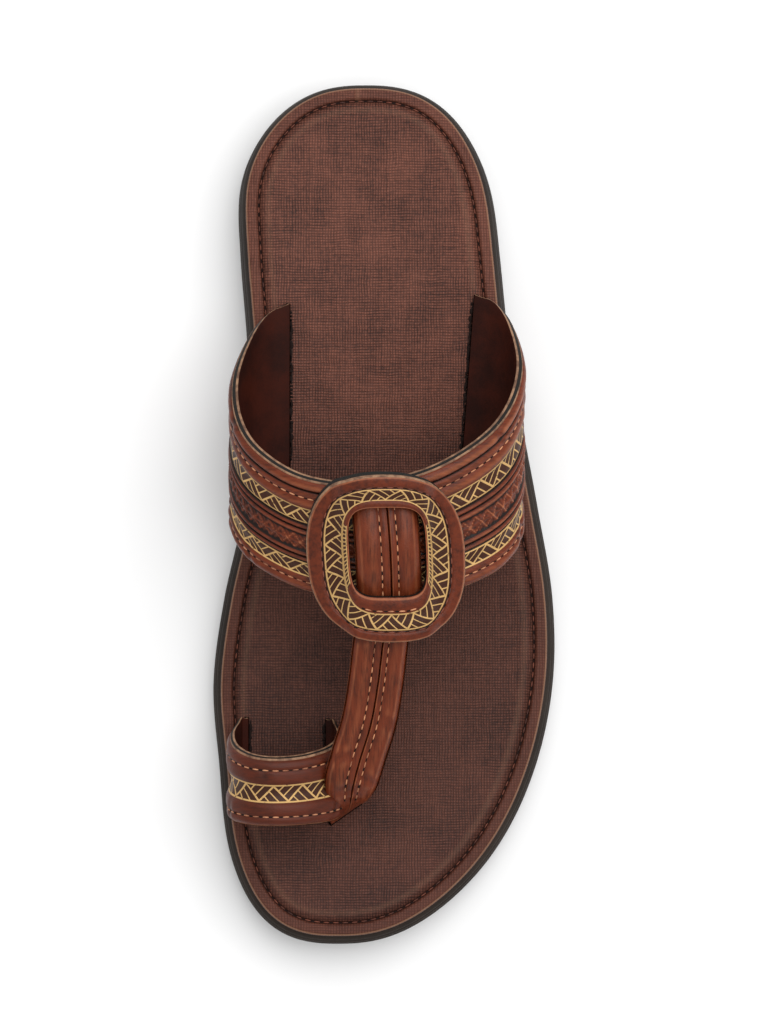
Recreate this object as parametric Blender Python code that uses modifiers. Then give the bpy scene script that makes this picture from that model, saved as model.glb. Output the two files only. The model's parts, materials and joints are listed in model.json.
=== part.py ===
"""A toe ring sandal for the left foot: a moulded outsole, a stitched footbed, a strap upper and its frame.

Metres, +Z up. The sandal stands on the floor at z = 0, with its toe along -Y, its heel along +Y,
the big toe's side at -X and the little toe's side at +X. The origin is on the floor, under the middle
of the sole's outline.
"""
import math
from collections import namedtuple

import bmesh
import bpy
import numpy as np

# Sole
SOLE_LENGTH = 0.286
BALL_WIDTH = 0.1122
HEEL_HEIGHT = 0.0215
FOREFOOT_HEIGHT = 0.0135
TOE_SPRING = 0.0075
TOE_THINNING = 0.0025
SPRING_START = 0.76
HEEL_DROP = (0.22, 0.64)
HEEL_END = 0.29
BALL_START = 0.50
WAIST_RISE = 0.0030
WAIST_RAMP = 0.045
SOLE_SQUARENESS = 0.80

# Tread under the sole
TREAD_DEPTH = 0.0016
TREAD_WIDTH = 0.0030
TREAD_PITCH = 0.0095
TREAD_MARGIN = 0.0090
HEEL_TREAD = (0.045, 0.265)
FOREFOOT_TREAD = (0.54, 0.77)

# Footbed
FOOTBED_REVEAL = 0.0024
FOOTBED_RIM = 0.0042
FOOTBED_HEIGHT = 0.0048
FOOTBED_DISH = 0.0011
SEAT_GAP = 0.0003

# Upper: the wide strap over the foot
VAMP_CENTRE = -0.0021
VAMP_HALF_WIDTH = 0.0482
VAMP_REAR_SLOT_HALF_GAP = 0.0318
VAMP_FRONT_SLOT_HALF_GAP = 0.0295
VAMP_REAR_APEX = 0.0050
VAMP_FRONT_APEX = -0.0315
VAMP_REAR_RISE = 0.0560
VAMP_FRONT_RISE = 0.0450
VAMP_REAR_SETBACK = 0.0650
VAMP_FRONT_SETBACK = 0.0450
VAMP_REAR_TURN = math.radians(2.6)
VAMP_FRONT_TURN = math.radians(-2.0)
VAMP_APEX_SHIFT = -0.0037
STRAP_WALL = 0.0027
SLOT_CLEARANCE = 0.0004

# Upper: the ring for the big toe
RING_CENTRE = -0.0320
RING_HALF_WIDTH = 0.0190
RING_SLOT_HALF_GAP = 0.0140
RING_REAR_APEX = -0.0830
RING_FRONT_APEX = -0.1043
RING_REAR_RISE = 0.0290
RING_FRONT_RISE = 0.0260
RING_REAR_SETBACK = 0.0142
RING_FRONT_SETBACK = 0.0057
RING_REAR_TURN = math.radians(-1.0)
RING_FRONT_TURN = 0.0
RING_APEX_SHIFT = -0.0041
RING_WALL = 0.0022

# Upper: the middle strap from the frame to the toe post
MIDDLE_STRAP_WIDTH = 0.0205
MIDDLE_STRAP_WALL = 0.0026
MIDDLE_STRAP_SINK = 0.0006
TOE_POST_WIDTH = 0.0125
TOE_POST_X = -0.0125
TOE_POST_Y = -0.1005
TOE_POST_SWING = 0.70

# Frame over the crossing
CROSSING_SIDE = 0.0068
FRAME_LENGTH = 0.0566
FRAME_WIDTH = 0.0506
FRAME_WALL = 0.0024
FRAME_GAP = 0.0009
FRAME_STEP_GAP = 0.0006
FRAME_STEP_RUN = 0.0065
FRAME_PLACE = 0.598
FRAME_SQUARENESS = 2.4
WINDOW_SQUARENESS = 4.0
WINDOW_LENGTH = 0.0314
WINDOW_WIDTH = 0.0236
WINDOW_SETBACK = 0.0024

OUTLINE_POINTS = 80

Station = namedtuple("Station", "share centre half")
# The centre line and the half width along the sole, as shares of the ball width. The half width is
# that of a squared ellipse, so it stays wide at the tips.
OUTLINE = (
    Station(0.0, -0.054, 0.580),
    Station(0.1, -0.058, 0.535),
    Station(0.2, -0.041, 0.458),
    Station(0.3, -0.018, 0.414),
    Station(0.4, 0.005, 0.411),
    Station(0.5, 0.020, 0.437),
    Station(0.6, 0.013, 0.493),
    Station(0.7, -0.003, 0.537),
    Station(0.8, -0.021, 0.554),
    Station(0.9, -0.069, 0.574),
    Station(1.0, -0.136, 0.570),
)

Wall = namedtuple("Wall", "height inset")
# The side of the outsole, from its floor edge up to the footbed: height as a share of the local
# thickness, and the distance inside the widest outline.
SOLE_WALL = (
    Wall(0.00, 0.0014),
    Wall(0.07, 0.0003),
    Wall(0.18, 0.0),
    Wall(0.46, 0.0005),
    Wall(0.50, 0.0014),
    Wall(0.56, 0.0014),
    Wall(0.60, 0.0006),
    Wall(0.76, 0.0009),
    Wall(0.79, 0.0016),
    Wall(0.84, 0.0016),
    Wall(0.87, 0.0010),
    Wall(0.96, 0.0014),
    Wall(1.00, 0.0023),
)

Relief = namedtuple("Relief", "place height")
# The footbed from its edge inwards: place in rim widths, height as a share of the footbed's height.
FOOTBED_RELIEF = (
    Relief(0.00, 0.06),
    Relief(-0.03, 0.16),
    Relief(-0.02, 0.50),
    Relief(0.14, 0.66),
    Relief(0.45, 0.70),
    Relief(0.84, 0.66),
    Relief(1.02, 0.50),
    Relief(1.20, 0.68),
    Relief(1.50, 0.93),
    Relief(1.90, 1.00),
    Relief(2.50, 0.97),
)
FOOTBED_UNDERCUT = 0.04
FOOTBED_INNER_LOOPS = 3
SPINE_REACH = 0.72

Arch = namedtuple("Arch", "share across height")
# A strap's arch, from its foot at the slot to its top: across as a share of the half width, height as
# a share of the rise. The foot's own place comes from the slot, and the flare starts there.
FOOT_FLARE = Arch(0.12, 0.13, 0.055)
ARCH_SIDE = (
    Arch(0.28, 0.93, 0.20),
    Arch(0.42, 1.00, 0.41),
    Arch(0.56, 0.945, 0.62),
    Arch(0.70, 0.775, 0.79),
    Arch(0.85, 0.43, 0.945),
)
# How far up an arch its relief reaches its full strength, so that the feet are plain.
RELIEF_START = 0.16

Band = namedtuple("Band", "across relief")
# The wide strap's outer face from its rear rim to its front rim: rolled edges, a stitched margin, two
# flush printed strips and the raised plaited strip between them.
VAMP_FACE = (
    Band(0.000, -0.0009),
    Band(0.022, -0.0001),
    Band(0.060, 0.0),
    Band(0.085, -0.0003),
    Band(0.105, 0.0002),
    Band(0.235, 0.0002),
    Band(0.255, -0.0003),
    Band(0.385, -0.0003),
    Band(0.405, 0.0004),
    Band(0.565, 0.0006),
    Band(0.725, 0.0004),
    Band(0.745, -0.0003),
    Band(0.865, -0.0003),
    Band(0.885, 0.0002),
    Band(0.950, 0.0001),
    Band(0.980, -0.0002),
    Band(1.000, -0.0009),
)
RING_FACE = (
    Band(0.00, -0.0008),
    Band(0.04, 0.0),
    Band(0.33, 0.0001),
    Band(0.36, -0.0002),
    Band(0.64, -0.0002),
    Band(0.67, 0.0001),
    Band(0.96, 0.0),
    Band(1.00, -0.0008),
)
# The middle strap is two folded edges that meet at a slit.
MIDDLE_STRAP_FACE = (
    Band(0.00, -0.0016),
    Band(0.06, -0.0006),
    Band(0.18, -0.0001),
    Band(0.44, 0.0),
    Band(0.50, -0.0007),
    Band(0.56, 0.0),
    Band(0.82, -0.0001),
    Band(0.94, -0.0006),
    Band(1.00, -0.0016),
)

OnVamp = namedtuple("OnVamp", "across lift")
# The middle strap where it lies on the wide strap, from near its rear rim to its front rim. It
# stands up through the frame's window.
STRAP_ON_VAMP = (
    OnVamp(0.11, 0.0),
    OnVamp(0.18, 0.0004),
    OnVamp(0.32, 0.0020),
    OnVamp(0.52, 0.0034),
    OnVamp(0.74, 0.0026),
    OnVamp(0.96, 0.0006),
)
ToToe = namedtuple("ToToe", "forward across height swing dip")
# The middle strap from the front rim to the toe post: forward and across as shares of that way, height
# as a share of the front rise, and how its width swings back and dips towards +X.
STRAP_TO_TOE = (
    ToToe(0.20, 0.14, 0.92, -0.05, -0.10),
    ToToe(0.40, 0.26, 0.80, -0.15, -0.12),
    ToToe(0.58, 0.42, 0.69, -0.28, -0.15),
    ToToe(0.74, 0.66, 0.60, -0.35, -0.20),
    ToToe(0.86, 0.82, 0.50, -0.20, -0.25),
    ToToe(0.94, 0.91, 0.36, 0.15, -0.15),
    ToToe(0.985, 0.97, 0.20, 0.55, -0.03),
    ToToe(0.998, 0.995, 0.09, 0.68, 0.0),
)

VAMP_SECTIONS = 38
RING_SECTIONS = 26
STRAP_SECTIONS = 29
FRAME_POINTS = 48
FRAME_LOOPS = 4
ARCH_SAMPLES = 240
# The stretch of the middle strap in which it narrows to the toe post and loses its relief.
POST_START = 0.78
POST_END = 0.93


def smooth_step(low, high, value):
    """0 up to low, 1 from high, and a smooth ramp between them."""
    part = min(1.0, max(0.0, (value - low) / (high - low)))
    return part * part * (3.0 - 2.0 * part)


def read(rows, share):
    """The columns after the first, at this share, on a smooth curve through a table's rows."""
    at = np.array([row[0] for row in rows])
    values = np.array([row[1:] for row in rows])
    slopes = np.gradient(values, at, axis=0)
    share = min(at[-1], max(at[0], share))
    i = min(len(at) - 2, int(np.searchsorted(at, share, side="right")) - 1)
    i = max(0, i)
    step = at[i + 1] - at[i]
    u = (share - at[i]) / step
    return (
        values[i] * (1 + 2 * u) * (1 - u) ** 2
        + slopes[i] * step * u * (1 - u) ** 2
        + values[i + 1] * u * u * (3 - 2 * u)
        + slopes[i + 1] * step * u * u * (u - 1)
    )


def outline_at(angle):
    """A point of the sole's widest outline: angle 0 is the heel's tip, pi the toe's, +X between them."""
    share = (1.0 - math.cos(angle)) / 2.0
    centre, half = read(OUTLINE, share) * BALL_WIDTH
    side = math.copysign(abs(math.sin(angle)) ** SOLE_SQUARENESS, math.sin(angle))
    return np.array([centre + half * side, SOLE_LENGTH / 2.0 * math.cos(angle)])


def make_outline():
    """The outline's points, centred across, and their inward normals."""
    angles = np.arange(OUTLINE_POINTS) * 2.0 * math.pi / OUTLINE_POINTS
    points = np.array([outline_at(angle) for angle in angles])
    fine = np.array([outline_at(angle) for angle in np.linspace(0.0, 2.0 * math.pi, 2000)])
    points[:, 0] -= (fine[:, 0].min() + fine[:, 0].max()) / 2.0
    ahead = np.roll(points, -1, axis=0) - np.roll(points, 1, axis=0)
    inward = np.stack([ahead[:, 1], -ahead[:, 0]], axis=1)
    inward /= np.linalg.norm(inward, axis=1)[:, None]
    return points, inward


def length_share(y):
    """How far along the sole a place lies, 0 at the heel's tip and 1 at the toe's."""
    return min(1.0, max(0.0, 0.5 - y / SOLE_LENGTH))


def sole_under(y):
    """The underside's height above the floor."""
    share = length_share(y)
    spring = max(0.0, (share - SPRING_START) / (1.0 - SPRING_START)) ** 2
    waist = smooth_step(HEEL_END, HEEL_END + WAIST_RAMP, share)
    waist -= smooth_step(BALL_START - WAIST_RAMP, BALL_START, share)
    return TOE_SPRING * spring + WAIST_RISE * waist


def sole_top(y):
    """The height of the outsole's upper face, which the footbed lies on."""
    share = length_share(y)
    drop = smooth_step(*HEEL_DROP, share)
    spring = max(0.0, (share - SPRING_START) / (1.0 - SPRING_START)) ** 2
    flat = HEEL_HEIGHT + (FOREFOOT_HEIGHT - HEEL_HEIGHT) * drop
    return flat + (TOE_SPRING - TOE_THINNING) * spring


def ground(y):
    """The height of the footbed's cushion, where the straps go in."""
    return sole_top(y) + SEAT_GAP + FOOTBED_HEIGHT


def add_object(name, mesh_maker, material, parent=None):
    """A named mesh object from a bmesh, made closed and facing out."""
    shape = bmesh.new()
    mesh_maker(shape)
    mesh = bpy.data.meshes.new(name)
    shape.to_mesh(mesh)
    shape.free()
    for face in mesh.polygons:
        face.use_smooth = True
    obj = bpy.data.objects.new(name, mesh)
    obj.parent = parent
    if material is not None:
        mesh.materials.append(material)
    return obj


def loft(shape, loops):
    """Quads between closed loops of equally many points."""
    made = [[shape.verts.new(point) for point in loop] for loop in loops]
    for low, high in zip(made, made[1:]):
        for i, vertex in enumerate(low):
            j = (i + 1) % len(low)
            shape.faces.new((vertex, low[j], high[j], high[i]))
    return made


def ladder(shape, loop, upward):
    """Closes a loop with rungs across it, from the heel's tip to the toe's."""
    half = len(loop) // 2
    for i in range(half):
        corners = [loop[i], loop[i + 1], loop[-i - 1], loop[-i]]
        corners = list(dict.fromkeys(corners))
        if upward:
            corners.reverse()
        shape.faces.new(corners)


def outsole_shape(shape):
    """The moulded sole: its ribbed side, its underside and the face under the footbed."""
    points, inward = make_outline()
    loops = []
    for row in SOLE_WALL:
        flat = points + inward * row.inset
        loops.append([
            (x, y, sole_under(y) + (sole_top(y) - sole_under(y)) * row.height) for x, y in flat
        ])
    made = loft(shape, loops)
    ladder(shape, made[0], upward=False)
    ladder(shape, made[-1], upward=True)
    bmesh.ops.recalc_face_normals(shape, faces=shape.faces)


def tread_cutters(material):
    """Bars that press the tread's channels into the sole's underside."""
    cutters = []
    points, _ = make_outline()
    lateral = points[1 : OUTLINE_POINTS // 2]
    medial = points[OUTLINE_POINTS // 2 + 1 :][::-1]
    for start, end in (HEEL_TREAD, FOREFOOT_TREAD):
        reach = (end - start) * SOLE_LENGTH
        count = int(reach / TREAD_PITCH)
        for i in range(count + 1):
            y = SOLE_LENGTH * (0.5 - start) - i * TREAD_PITCH
            low = np.interp(-y, -medial[:, 1], medial[:, 0]) + TREAD_MARGIN
            high = np.interp(-y, -lateral[:, 1], lateral[:, 0]) - TREAD_MARGIN

            def bar(shape, y=y, low=low, high=high):
                """A box across the sole, sunk one tread depth into it."""
                bmesh.ops.create_cube(shape, size=1.0)
                bmesh.ops.scale(shape, vec=(high - low, TREAD_WIDTH, 2.0 * TREAD_DEPTH), verts=shape.verts)
                bmesh.ops.translate(shape, vec=((low + high) / 2.0, y, 0.0), verts=shape.verts)

            cutters.append(add_object(f"tread_bar_{len(cutters)}", bar, material))
    return cutters


def footbed_shape(shape):
    """The footbed: a flat stitched rim, a sewn channel, and a cushion that is dished inside."""
    points, inward = make_outline()
    loops = []
    for row in FOOTBED_RELIEF:
        flat = points + inward * (FOOTBED_REVEAL + FOOTBED_RIM * row.place)
        loops.append([(x, y, sole_top(y) + SEAT_GAP + FOOTBED_HEIGHT * row.height) for x, y in flat])
    bottom = points + inward * (FOOTBED_REVEAL + FOOTBED_RIM * FOOTBED_UNDERCUT)
    loops.insert(0, [(x, y, sole_top(y) + SEAT_GAP) for x, y in bottom])
    edge = np.array(loops[-1])
    spine = np.array([
        (np.mean((points[i, 0], points[-i, 0])), points[i, 1] * SPINE_REACH, 0.0)
        for i in range(OUTLINE_POINTS)
    ])
    for step in range(1, FOOTBED_INNER_LOOPS + 1):
        part = step / (FOOTBED_INNER_LOOPS + 1)
        loop = edge * (1.0 - part) + spine * part
        sag = FOOTBED_DISH * part * (2.0 - part)
        level = FOOTBED_HEIGHT * FOOTBED_RELIEF[-1].height - sag
        loops.append([(x, y, sole_top(y) + SEAT_GAP + level) for x, y, _ in loop])
    made = loft(shape, loops)
    ladder(shape, made[0], upward=False)
    ladder(shape, made[-1], upward=True)
    bmesh.ops.recalc_face_normals(shape, faces=shape.faces)


class Strap:
    """An arched strap over the foot: the sizes of its two rims and of its feet in the footbed."""

    def __init__(self, centre, half_width, slot_half_gaps, apexes, rises, setbacks, turns, shift, wall):
        self.centre = centre
        self.half_width = half_width
        self.apexes = apexes
        self.rises = rises
        self.setbacks = setbacks
        self.turns = turns
        self.shift = shift
        self.wall = wall
        self.rows = [self.arch(slot_half_gap / half_width) for slot_half_gap in slot_half_gaps]

    @staticmethod
    def arch(foot):
        """A rim's whole arch, from the foot at -X to that at +X, for a foot at this share across."""
        flare = FOOT_FLARE._replace(across=foot + FOOT_FLARE.across)
        side = (Arch(0.0, foot, 0.0), flare) + ARCH_SIDE
        top = (Arch(1.0, 0.0, 1.0),)
        other = tuple(Arch(2.0 - row.share, -row.across, row.height) for row in reversed(side))
        return side + top + other

    def rim(self, share, which):
        """The rear rim (0) or front rim (1), its height over the footbed: share 0 is -X's foot, 2 +X's."""
        across, height = read(self.rows[which], share)
        rise = self.rises[which]
        lean = 1.0 - height
        x = -across * self.half_width + self.shift * height ** 3
        y = self.setbacks[which] * lean
        pivot = self.setbacks[which] * 0.5
        turn = self.turns[which]
        turned_x = x * math.cos(turn) + (y - pivot) * math.sin(turn)
        turned_y = x * math.sin(turn) + (y - pivot) * math.cos(turn) + pivot
        return np.array([self.centre + turned_x, self.apexes[which] + turned_y, rise * height])

    def point(self, share, across):
        """A point of the outer face: across 0 is the rear rim and 1 the front rim."""
        point = self.rim(share, 0) * (1.0 - across) + self.rim(share, 1) * across
        point[2] += ground(point[1])
        return point

    def normal(self, share, across):
        """The outward direction there."""
        step = 0.01
        along = self.point(share + step, across) - self.point(share - step, across)
        over = self.point(share, across + step) - self.point(share, across - step)
        normal = np.cross(over, along)
        return normal / np.linalg.norm(normal)


VAMP = Strap(
    VAMP_CENTRE, VAMP_HALF_WIDTH, (VAMP_REAR_SLOT_HALF_GAP, VAMP_FRONT_SLOT_HALF_GAP),
    (VAMP_REAR_APEX, VAMP_FRONT_APEX), (VAMP_REAR_RISE, VAMP_FRONT_RISE),
    (VAMP_REAR_SETBACK, VAMP_FRONT_SETBACK), (VAMP_REAR_TURN, VAMP_FRONT_TURN),
    VAMP_APEX_SHIFT, STRAP_WALL,
)
RING = Strap(
    RING_CENTRE, RING_HALF_WIDTH, (RING_SLOT_HALF_GAP, RING_SLOT_HALF_GAP),
    (RING_REAR_APEX, RING_FRONT_APEX), (RING_REAR_RISE, RING_FRONT_RISE),
    (RING_REAR_SETBACK, RING_FRONT_SETBACK), (RING_REAR_TURN, RING_FRONT_TURN),
    RING_APEX_SHIFT, RING_WALL,
)


class Crossing:
    """Where things lie on the wide strap, measured along its arch from its top."""

    def __init__(self, strap):
        self.shares = np.linspace(0.0, 2.0, ARCH_SAMPLES)
        arch = np.array([strap.point(share, FRAME_PLACE) for share in self.shares])
        steps = np.linalg.norm(np.diff(arch, axis=0), axis=1)
        self.lengths = np.concatenate([[0.0], np.cumsum(steps)])
        self.top = np.interp(1.0, self.shares, self.lengths)

    def share(self, side):
        """The arch's share at this length from its top."""
        return float(np.interp(self.top + side, self.lengths, self.shares))


CROSSING = Crossing(VAMP)


def relieved(points, relief, strength):
    """A grid of points moved out by a relief for each place across it, and its strength for each row."""
    along = np.gradient(points, axis=0)
    over = np.gradient(points, axis=1)
    normal = np.cross(over, along)
    normal /= np.linalg.norm(normal, axis=2)[:, :, None]
    return points + normal * np.array(relief)[None, :, None] * np.array(strength)[:, None, None]


def grid_shape(shape, points):
    """An open surface over a grid of points, facing out."""
    rows = [[shape.verts.new(point) for point in row] for row in points]
    for low, high in zip(rows, rows[1:]):
        for i in range(len(low) - 1):
            shape.faces.new((low[i], low[i + 1], high[i + 1], high[i]))


def foot_row(row):
    """The end of a strap's foot, straight under this row, just above the outsole."""
    return np.array([[(x, y, sole_top(y) + 2.0 * SEAT_GAP) for x, y, _ in row]])


def strap_grid(strap, face, sections):
    """The outer face of an arched strap, with a straight foot at each end."""
    shares = np.linspace(0.0, 2.0, sections)
    arch = np.array([[strap.point(share, row.across) for row in face] for share in shares])
    strength = [smooth_step(0.02, RELIEF_START, 1.0 - abs(share - 1.0)) for share in shares]
    arch = relieved(arch, [row.relief for row in face], strength)
    return np.concatenate([foot_row(arch[0]), arch, foot_row(arch[-1])])


def strap_path():
    """The middle strap's centre line from its end under the frame to the footbed: place and side."""
    rows = []
    for row in STRAP_ON_VAMP:
        share = CROSSING.share(CROSSING_SIDE)
        lift = row.lift + MIDDLE_STRAP_WALL - MIDDLE_STRAP_SINK
        point = VAMP.point(share, row.across) + VAMP.normal(share, row.across) * lift
        along = VAMP.point(share + 0.01, row.across) - VAMP.point(share - 0.01, row.across)
        rows.append((*point, *(along[1:] / along[0])))
    start = VAMP.point(CROSSING.share(CROSSING_SIDE), 1.0)
    for row in STRAP_TO_TOE:
        y = start[1] + (TOE_POST_Y - start[1]) * row.forward
        x = start[0] + (TOE_POST_X - start[0]) * row.across
        rows.append((x, y, ground(y) + VAMP_FRONT_RISE * row.height, row.swing, row.dip))
    rows.append((TOE_POST_X, TOE_POST_Y, ground(TOE_POST_Y), TOE_POST_SWING, 0.0))
    rows = np.array(rows)
    steps = np.linalg.norm(np.diff(rows[:, :3], axis=0), axis=1)
    lengths = np.concatenate([[0.0], np.cumsum(steps)])
    return [(length / lengths[-1], *row) for length, row in zip(lengths, rows)]


def middle_strap_grid():
    """The outer face of the middle strap, down to its foot in the footbed."""
    path = strap_path()
    rows = []
    strength = []
    for share in np.linspace(0.0, 1.0, STRAP_SECTIONS):
        *centre, swing, dip = read(path, share)
        centre = np.array(centre)
        ahead = read(path, min(1.0, share + 0.02))[:3] - read(path, max(0.0, share - 0.02))[:3]
        side = np.array([1.0, swing, dip])
        side -= ahead * (ahead @ side) / (ahead @ ahead)
        side /= np.linalg.norm(side)
        narrow = smooth_step(POST_START, POST_END, share)
        width = MIDDLE_STRAP_WIDTH * (1.0 - narrow) + TOE_POST_WIDTH * narrow
        rows.append([centre + side * width * (0.5 - row.across) for row in MIDDLE_STRAP_FACE])
        strength.append(1.0 - smooth_step(POST_START, POST_END, share))
    grid = relieved(np.array(rows), [row.relief for row in MIDDLE_STRAP_FACE], strength)
    return np.concatenate([grid, foot_row(grid[-1])])


def add_wall(obj, thickness, offset=-1.0):
    """Gives an open surface its wall."""
    wall = obj.modifiers.new("wall", "SOLIDIFY")
    wall.thickness = thickness
    wall.offset = offset
    wall.use_even_offset = True
    return wall


def slot_cutter(name, line, wall, material):
    """A wall of the foot's own thickness with clearance all round, through the whole footbed."""
    line = np.array(line)
    ends = line[-1] - line[0]
    ends /= np.linalg.norm(ends)
    line[0] -= ends * SLOT_CLEARANCE
    line[-1] += ends * SLOT_CLEARANCE
    rise = np.array([0.0, 0.0, 2.0 * FOOTBED_HEIGHT])
    cutter = add_object(name, lambda shape: grid_shape(shape, [line - rise, line + rise]), material)
    add_wall(cutter, wall + 2.0 * SLOT_CLEARANCE, offset=0.0)
    return cutter


def mid_wall_line(outer, wall):
    """The middle of a foot's wall, level, from the outer face's first and last points there."""
    outer = np.array([outer[0], outer[-1]])
    over = np.gradient(outer, axis=0)
    side = np.stack([-over[:, 1], over[:, 0], np.zeros(len(over))], axis=1)
    side /= np.linalg.norm(side, axis=1)[:, None]
    return outer + side * wall / 2.0


def material(name, colour, roughness, metallic=0.0):
    """A plain finish for one kind of piece."""
    made = bpy.data.materials.new(name)
    made.use_nodes = True
    shader = made.node_tree.nodes["Principled BSDF"]
    shader.inputs["Base Color"].default_value = (*colour, 1.0)
    shader.inputs["Roughness"].default_value = roughness
    shader.inputs["Metallic"].default_value = metallic
    return made


def squircle(angle, half_width, half_length, power):
    """A point of a rounded frame shape, with its rear at angle 0."""
    sine, cosine = math.sin(angle), math.cos(angle)
    radius = (abs(sine) ** power + abs(cosine) ** power) ** (-1.0 / power)
    return half_width * sine * radius, half_length * cosine * radius


def frame_grid():
    """The frame's underside, from its window to its outer edge, over the crossing straps."""
    middle_share = CROSSING.share(CROSSING_SIDE)
    over = VAMP.point(middle_share, 0.0) - VAMP.point(middle_share, 1.0)
    level_part = over[1] / np.linalg.norm(over)
    middle_y = VAMP.point(middle_share, FRAME_PLACE)[1]
    loops = []
    for step in range(FRAME_LOOPS + 1):
        part = step / FRAME_LOOPS
        loop = []
        for i in range(FRAME_POINTS):
            angle = -2.0 * math.pi * i / FRAME_POINTS
            inner = squircle(angle, WINDOW_WIDTH / 2.0, WINDOW_LENGTH / 2.0, WINDOW_SQUARENESS)
            outer = squircle(angle, FRAME_WIDTH / 2.0, FRAME_LENGTH / 2.0, FRAME_SQUARENESS)
            side = inner[0] * (1.0 - part) + outer[0] * part
            back = (inner[1] + WINDOW_SETBACK) * (1.0 - part) + outer[1] * part
            share = CROSSING.share(CROSSING_SIDE + side)
            rear_y = VAMP.point(share, 0.0)[1]
            front_y = VAMP.point(share, 1.0)[1]
            across = (rear_y - middle_y - back * level_part) / (rear_y - front_y)
            past_strap = abs(side) - MIDDLE_STRAP_WIDTH / 2.0
            over_strap = 1.0 - smooth_step(0.0, FRAME_STEP_RUN, past_strap)
            lift = FRAME_GAP + over_strap * (MIDDLE_STRAP_WALL + FRAME_STEP_GAP)
            loop.append(VAMP.point(share, across) + VAMP.normal(share, across) * lift)
        loops.append(loop)
    return loops


def frame_shape(shape):
    """The frame's underside as a ring of quads, facing out."""
    loft(shape, frame_grid())
    bmesh.ops.recalc_face_normals(shape, faces=shape.faces)
    if sum((face.normal.z for face in shape.faces)) < 0.0:
        bmesh.ops.reverse_faces(shape, faces=shape.faces)


def join(obj, other, operation):
    """A Boolean of one object with another, which is then only a guide."""
    modifier = obj.modifiers.new(other.name, "BOOLEAN")
    modifier.operation = operation
    modifier.object = other
    other.hide_render = True
    other.display_type = "WIRE"


def build():
    """Clears the scene and makes the sandal."""
    for obj in list(bpy.data.objects):
        bpy.data.objects.remove(obj)
    sandal = bpy.data.collections.new("toe_ring_sandal")
    guides = bpy.data.collections.new("guides")
    bpy.context.scene.collection.children.link(sandal)
    bpy.context.scene.collection.children.link(guides)

    sole_finish = material("sole_polyurethane", (0.030, 0.024, 0.019), 0.55)
    bed_finish = material("footbed_cover", (0.120, 0.052, 0.038), 0.60)
    strap_finish = material("strap_leather", (0.230, 0.070, 0.030), 0.42)
    frame_finish = material("frame_leather", (0.240, 0.075, 0.032), 0.42)

    outsole = add_object("outsole", outsole_shape, sole_finish)
    footbed = add_object("footbed", footbed_shape, bed_finish)
    vamp_points = strap_grid(VAMP, VAMP_FACE, VAMP_SECTIONS)
    ring_points = strap_grid(RING, RING_FACE, RING_SECTIONS)
    middle_points = middle_strap_grid()
    upper = add_object("upper", lambda shape: grid_shape(shape, vamp_points), strap_finish)
    ring = add_object("toe_ring", lambda shape: grid_shape(shape, ring_points), strap_finish)
    middle = add_object("middle_strap", lambda shape: grid_shape(shape, middle_points), strap_finish)
    frame = add_object("strap_frame", frame_shape, frame_finish)
    add_wall(upper, STRAP_WALL)
    add_wall(ring, RING_WALL)
    add_wall(middle, MIDDLE_STRAP_WALL)
    add_wall(frame, FRAME_WALL, offset=1.0)

    cutters = tread_cutters(sole_finish)
    for cutter in cutters:
        join(outsole, cutter, "DIFFERENCE")
    slots = []
    for name, points, wall in (
        ("vamp_slot", vamp_points, STRAP_WALL),
        ("ring_slot", ring_points, RING_WALL),
    ):
        for end, row in (("medial", points[0]), ("lateral", points[-1][::-1])):
            slots.append(slot_cutter(f"{name}_{end}", mid_wall_line(row, wall), wall, bed_finish))
    post_line = mid_wall_line(middle_points[-1][::-1], MIDDLE_STRAP_WALL)
    slots.append(slot_cutter("post_slot", post_line, MIDDLE_STRAP_WALL, bed_finish))
    for slot in slots:
        join(footbed, slot, "DIFFERENCE")
    join(upper, middle, "UNION")
    join(upper, ring, "UNION")

    for obj in (outsole, footbed, upper, frame):
        sandal.objects.link(obj)
    for obj in [ring, middle, *cutters, *slots]:
        guides.objects.link(obj)


build()
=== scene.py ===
"""The looks of a toe ring sandal for the left foot: its leather, stitching, printed ribbons and sole.

Metres, +Z up. The toe points along -Y, the heel along +Y, the big toe's side is -X, and the floor is at
z = 0. Each form repeats the sizes of the sandal's solids, so a dressed piece lies where its solid does.
"""
import json
import logging
import math
from collections.abc import Callable
from dataclasses import dataclass, field, replace
from enum import Enum

import bpy
import numpy as np
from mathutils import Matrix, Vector

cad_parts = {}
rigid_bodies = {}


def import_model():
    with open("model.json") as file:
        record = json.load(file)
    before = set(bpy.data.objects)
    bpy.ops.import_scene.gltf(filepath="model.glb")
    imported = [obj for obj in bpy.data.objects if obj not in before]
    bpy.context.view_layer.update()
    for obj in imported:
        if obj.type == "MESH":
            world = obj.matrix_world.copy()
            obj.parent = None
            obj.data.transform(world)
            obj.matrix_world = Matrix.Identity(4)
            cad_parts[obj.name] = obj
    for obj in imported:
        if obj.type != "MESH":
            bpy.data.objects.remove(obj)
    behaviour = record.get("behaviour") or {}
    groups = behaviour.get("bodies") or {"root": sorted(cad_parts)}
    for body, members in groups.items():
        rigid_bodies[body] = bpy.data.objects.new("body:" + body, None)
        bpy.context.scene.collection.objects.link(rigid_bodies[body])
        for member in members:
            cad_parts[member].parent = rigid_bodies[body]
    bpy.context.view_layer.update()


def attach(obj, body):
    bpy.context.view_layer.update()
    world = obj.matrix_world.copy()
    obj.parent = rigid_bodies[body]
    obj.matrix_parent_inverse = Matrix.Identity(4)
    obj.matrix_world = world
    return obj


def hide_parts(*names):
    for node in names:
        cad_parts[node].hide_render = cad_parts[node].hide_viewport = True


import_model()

Array = np.ndarray
Rows = tuple[tuple[float, ...], ...]
Colour = tuple[float, float, float]
Ramp = tuple[float, float]

log = logging.getLogger("sandal")


# Numbers and tables


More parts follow.
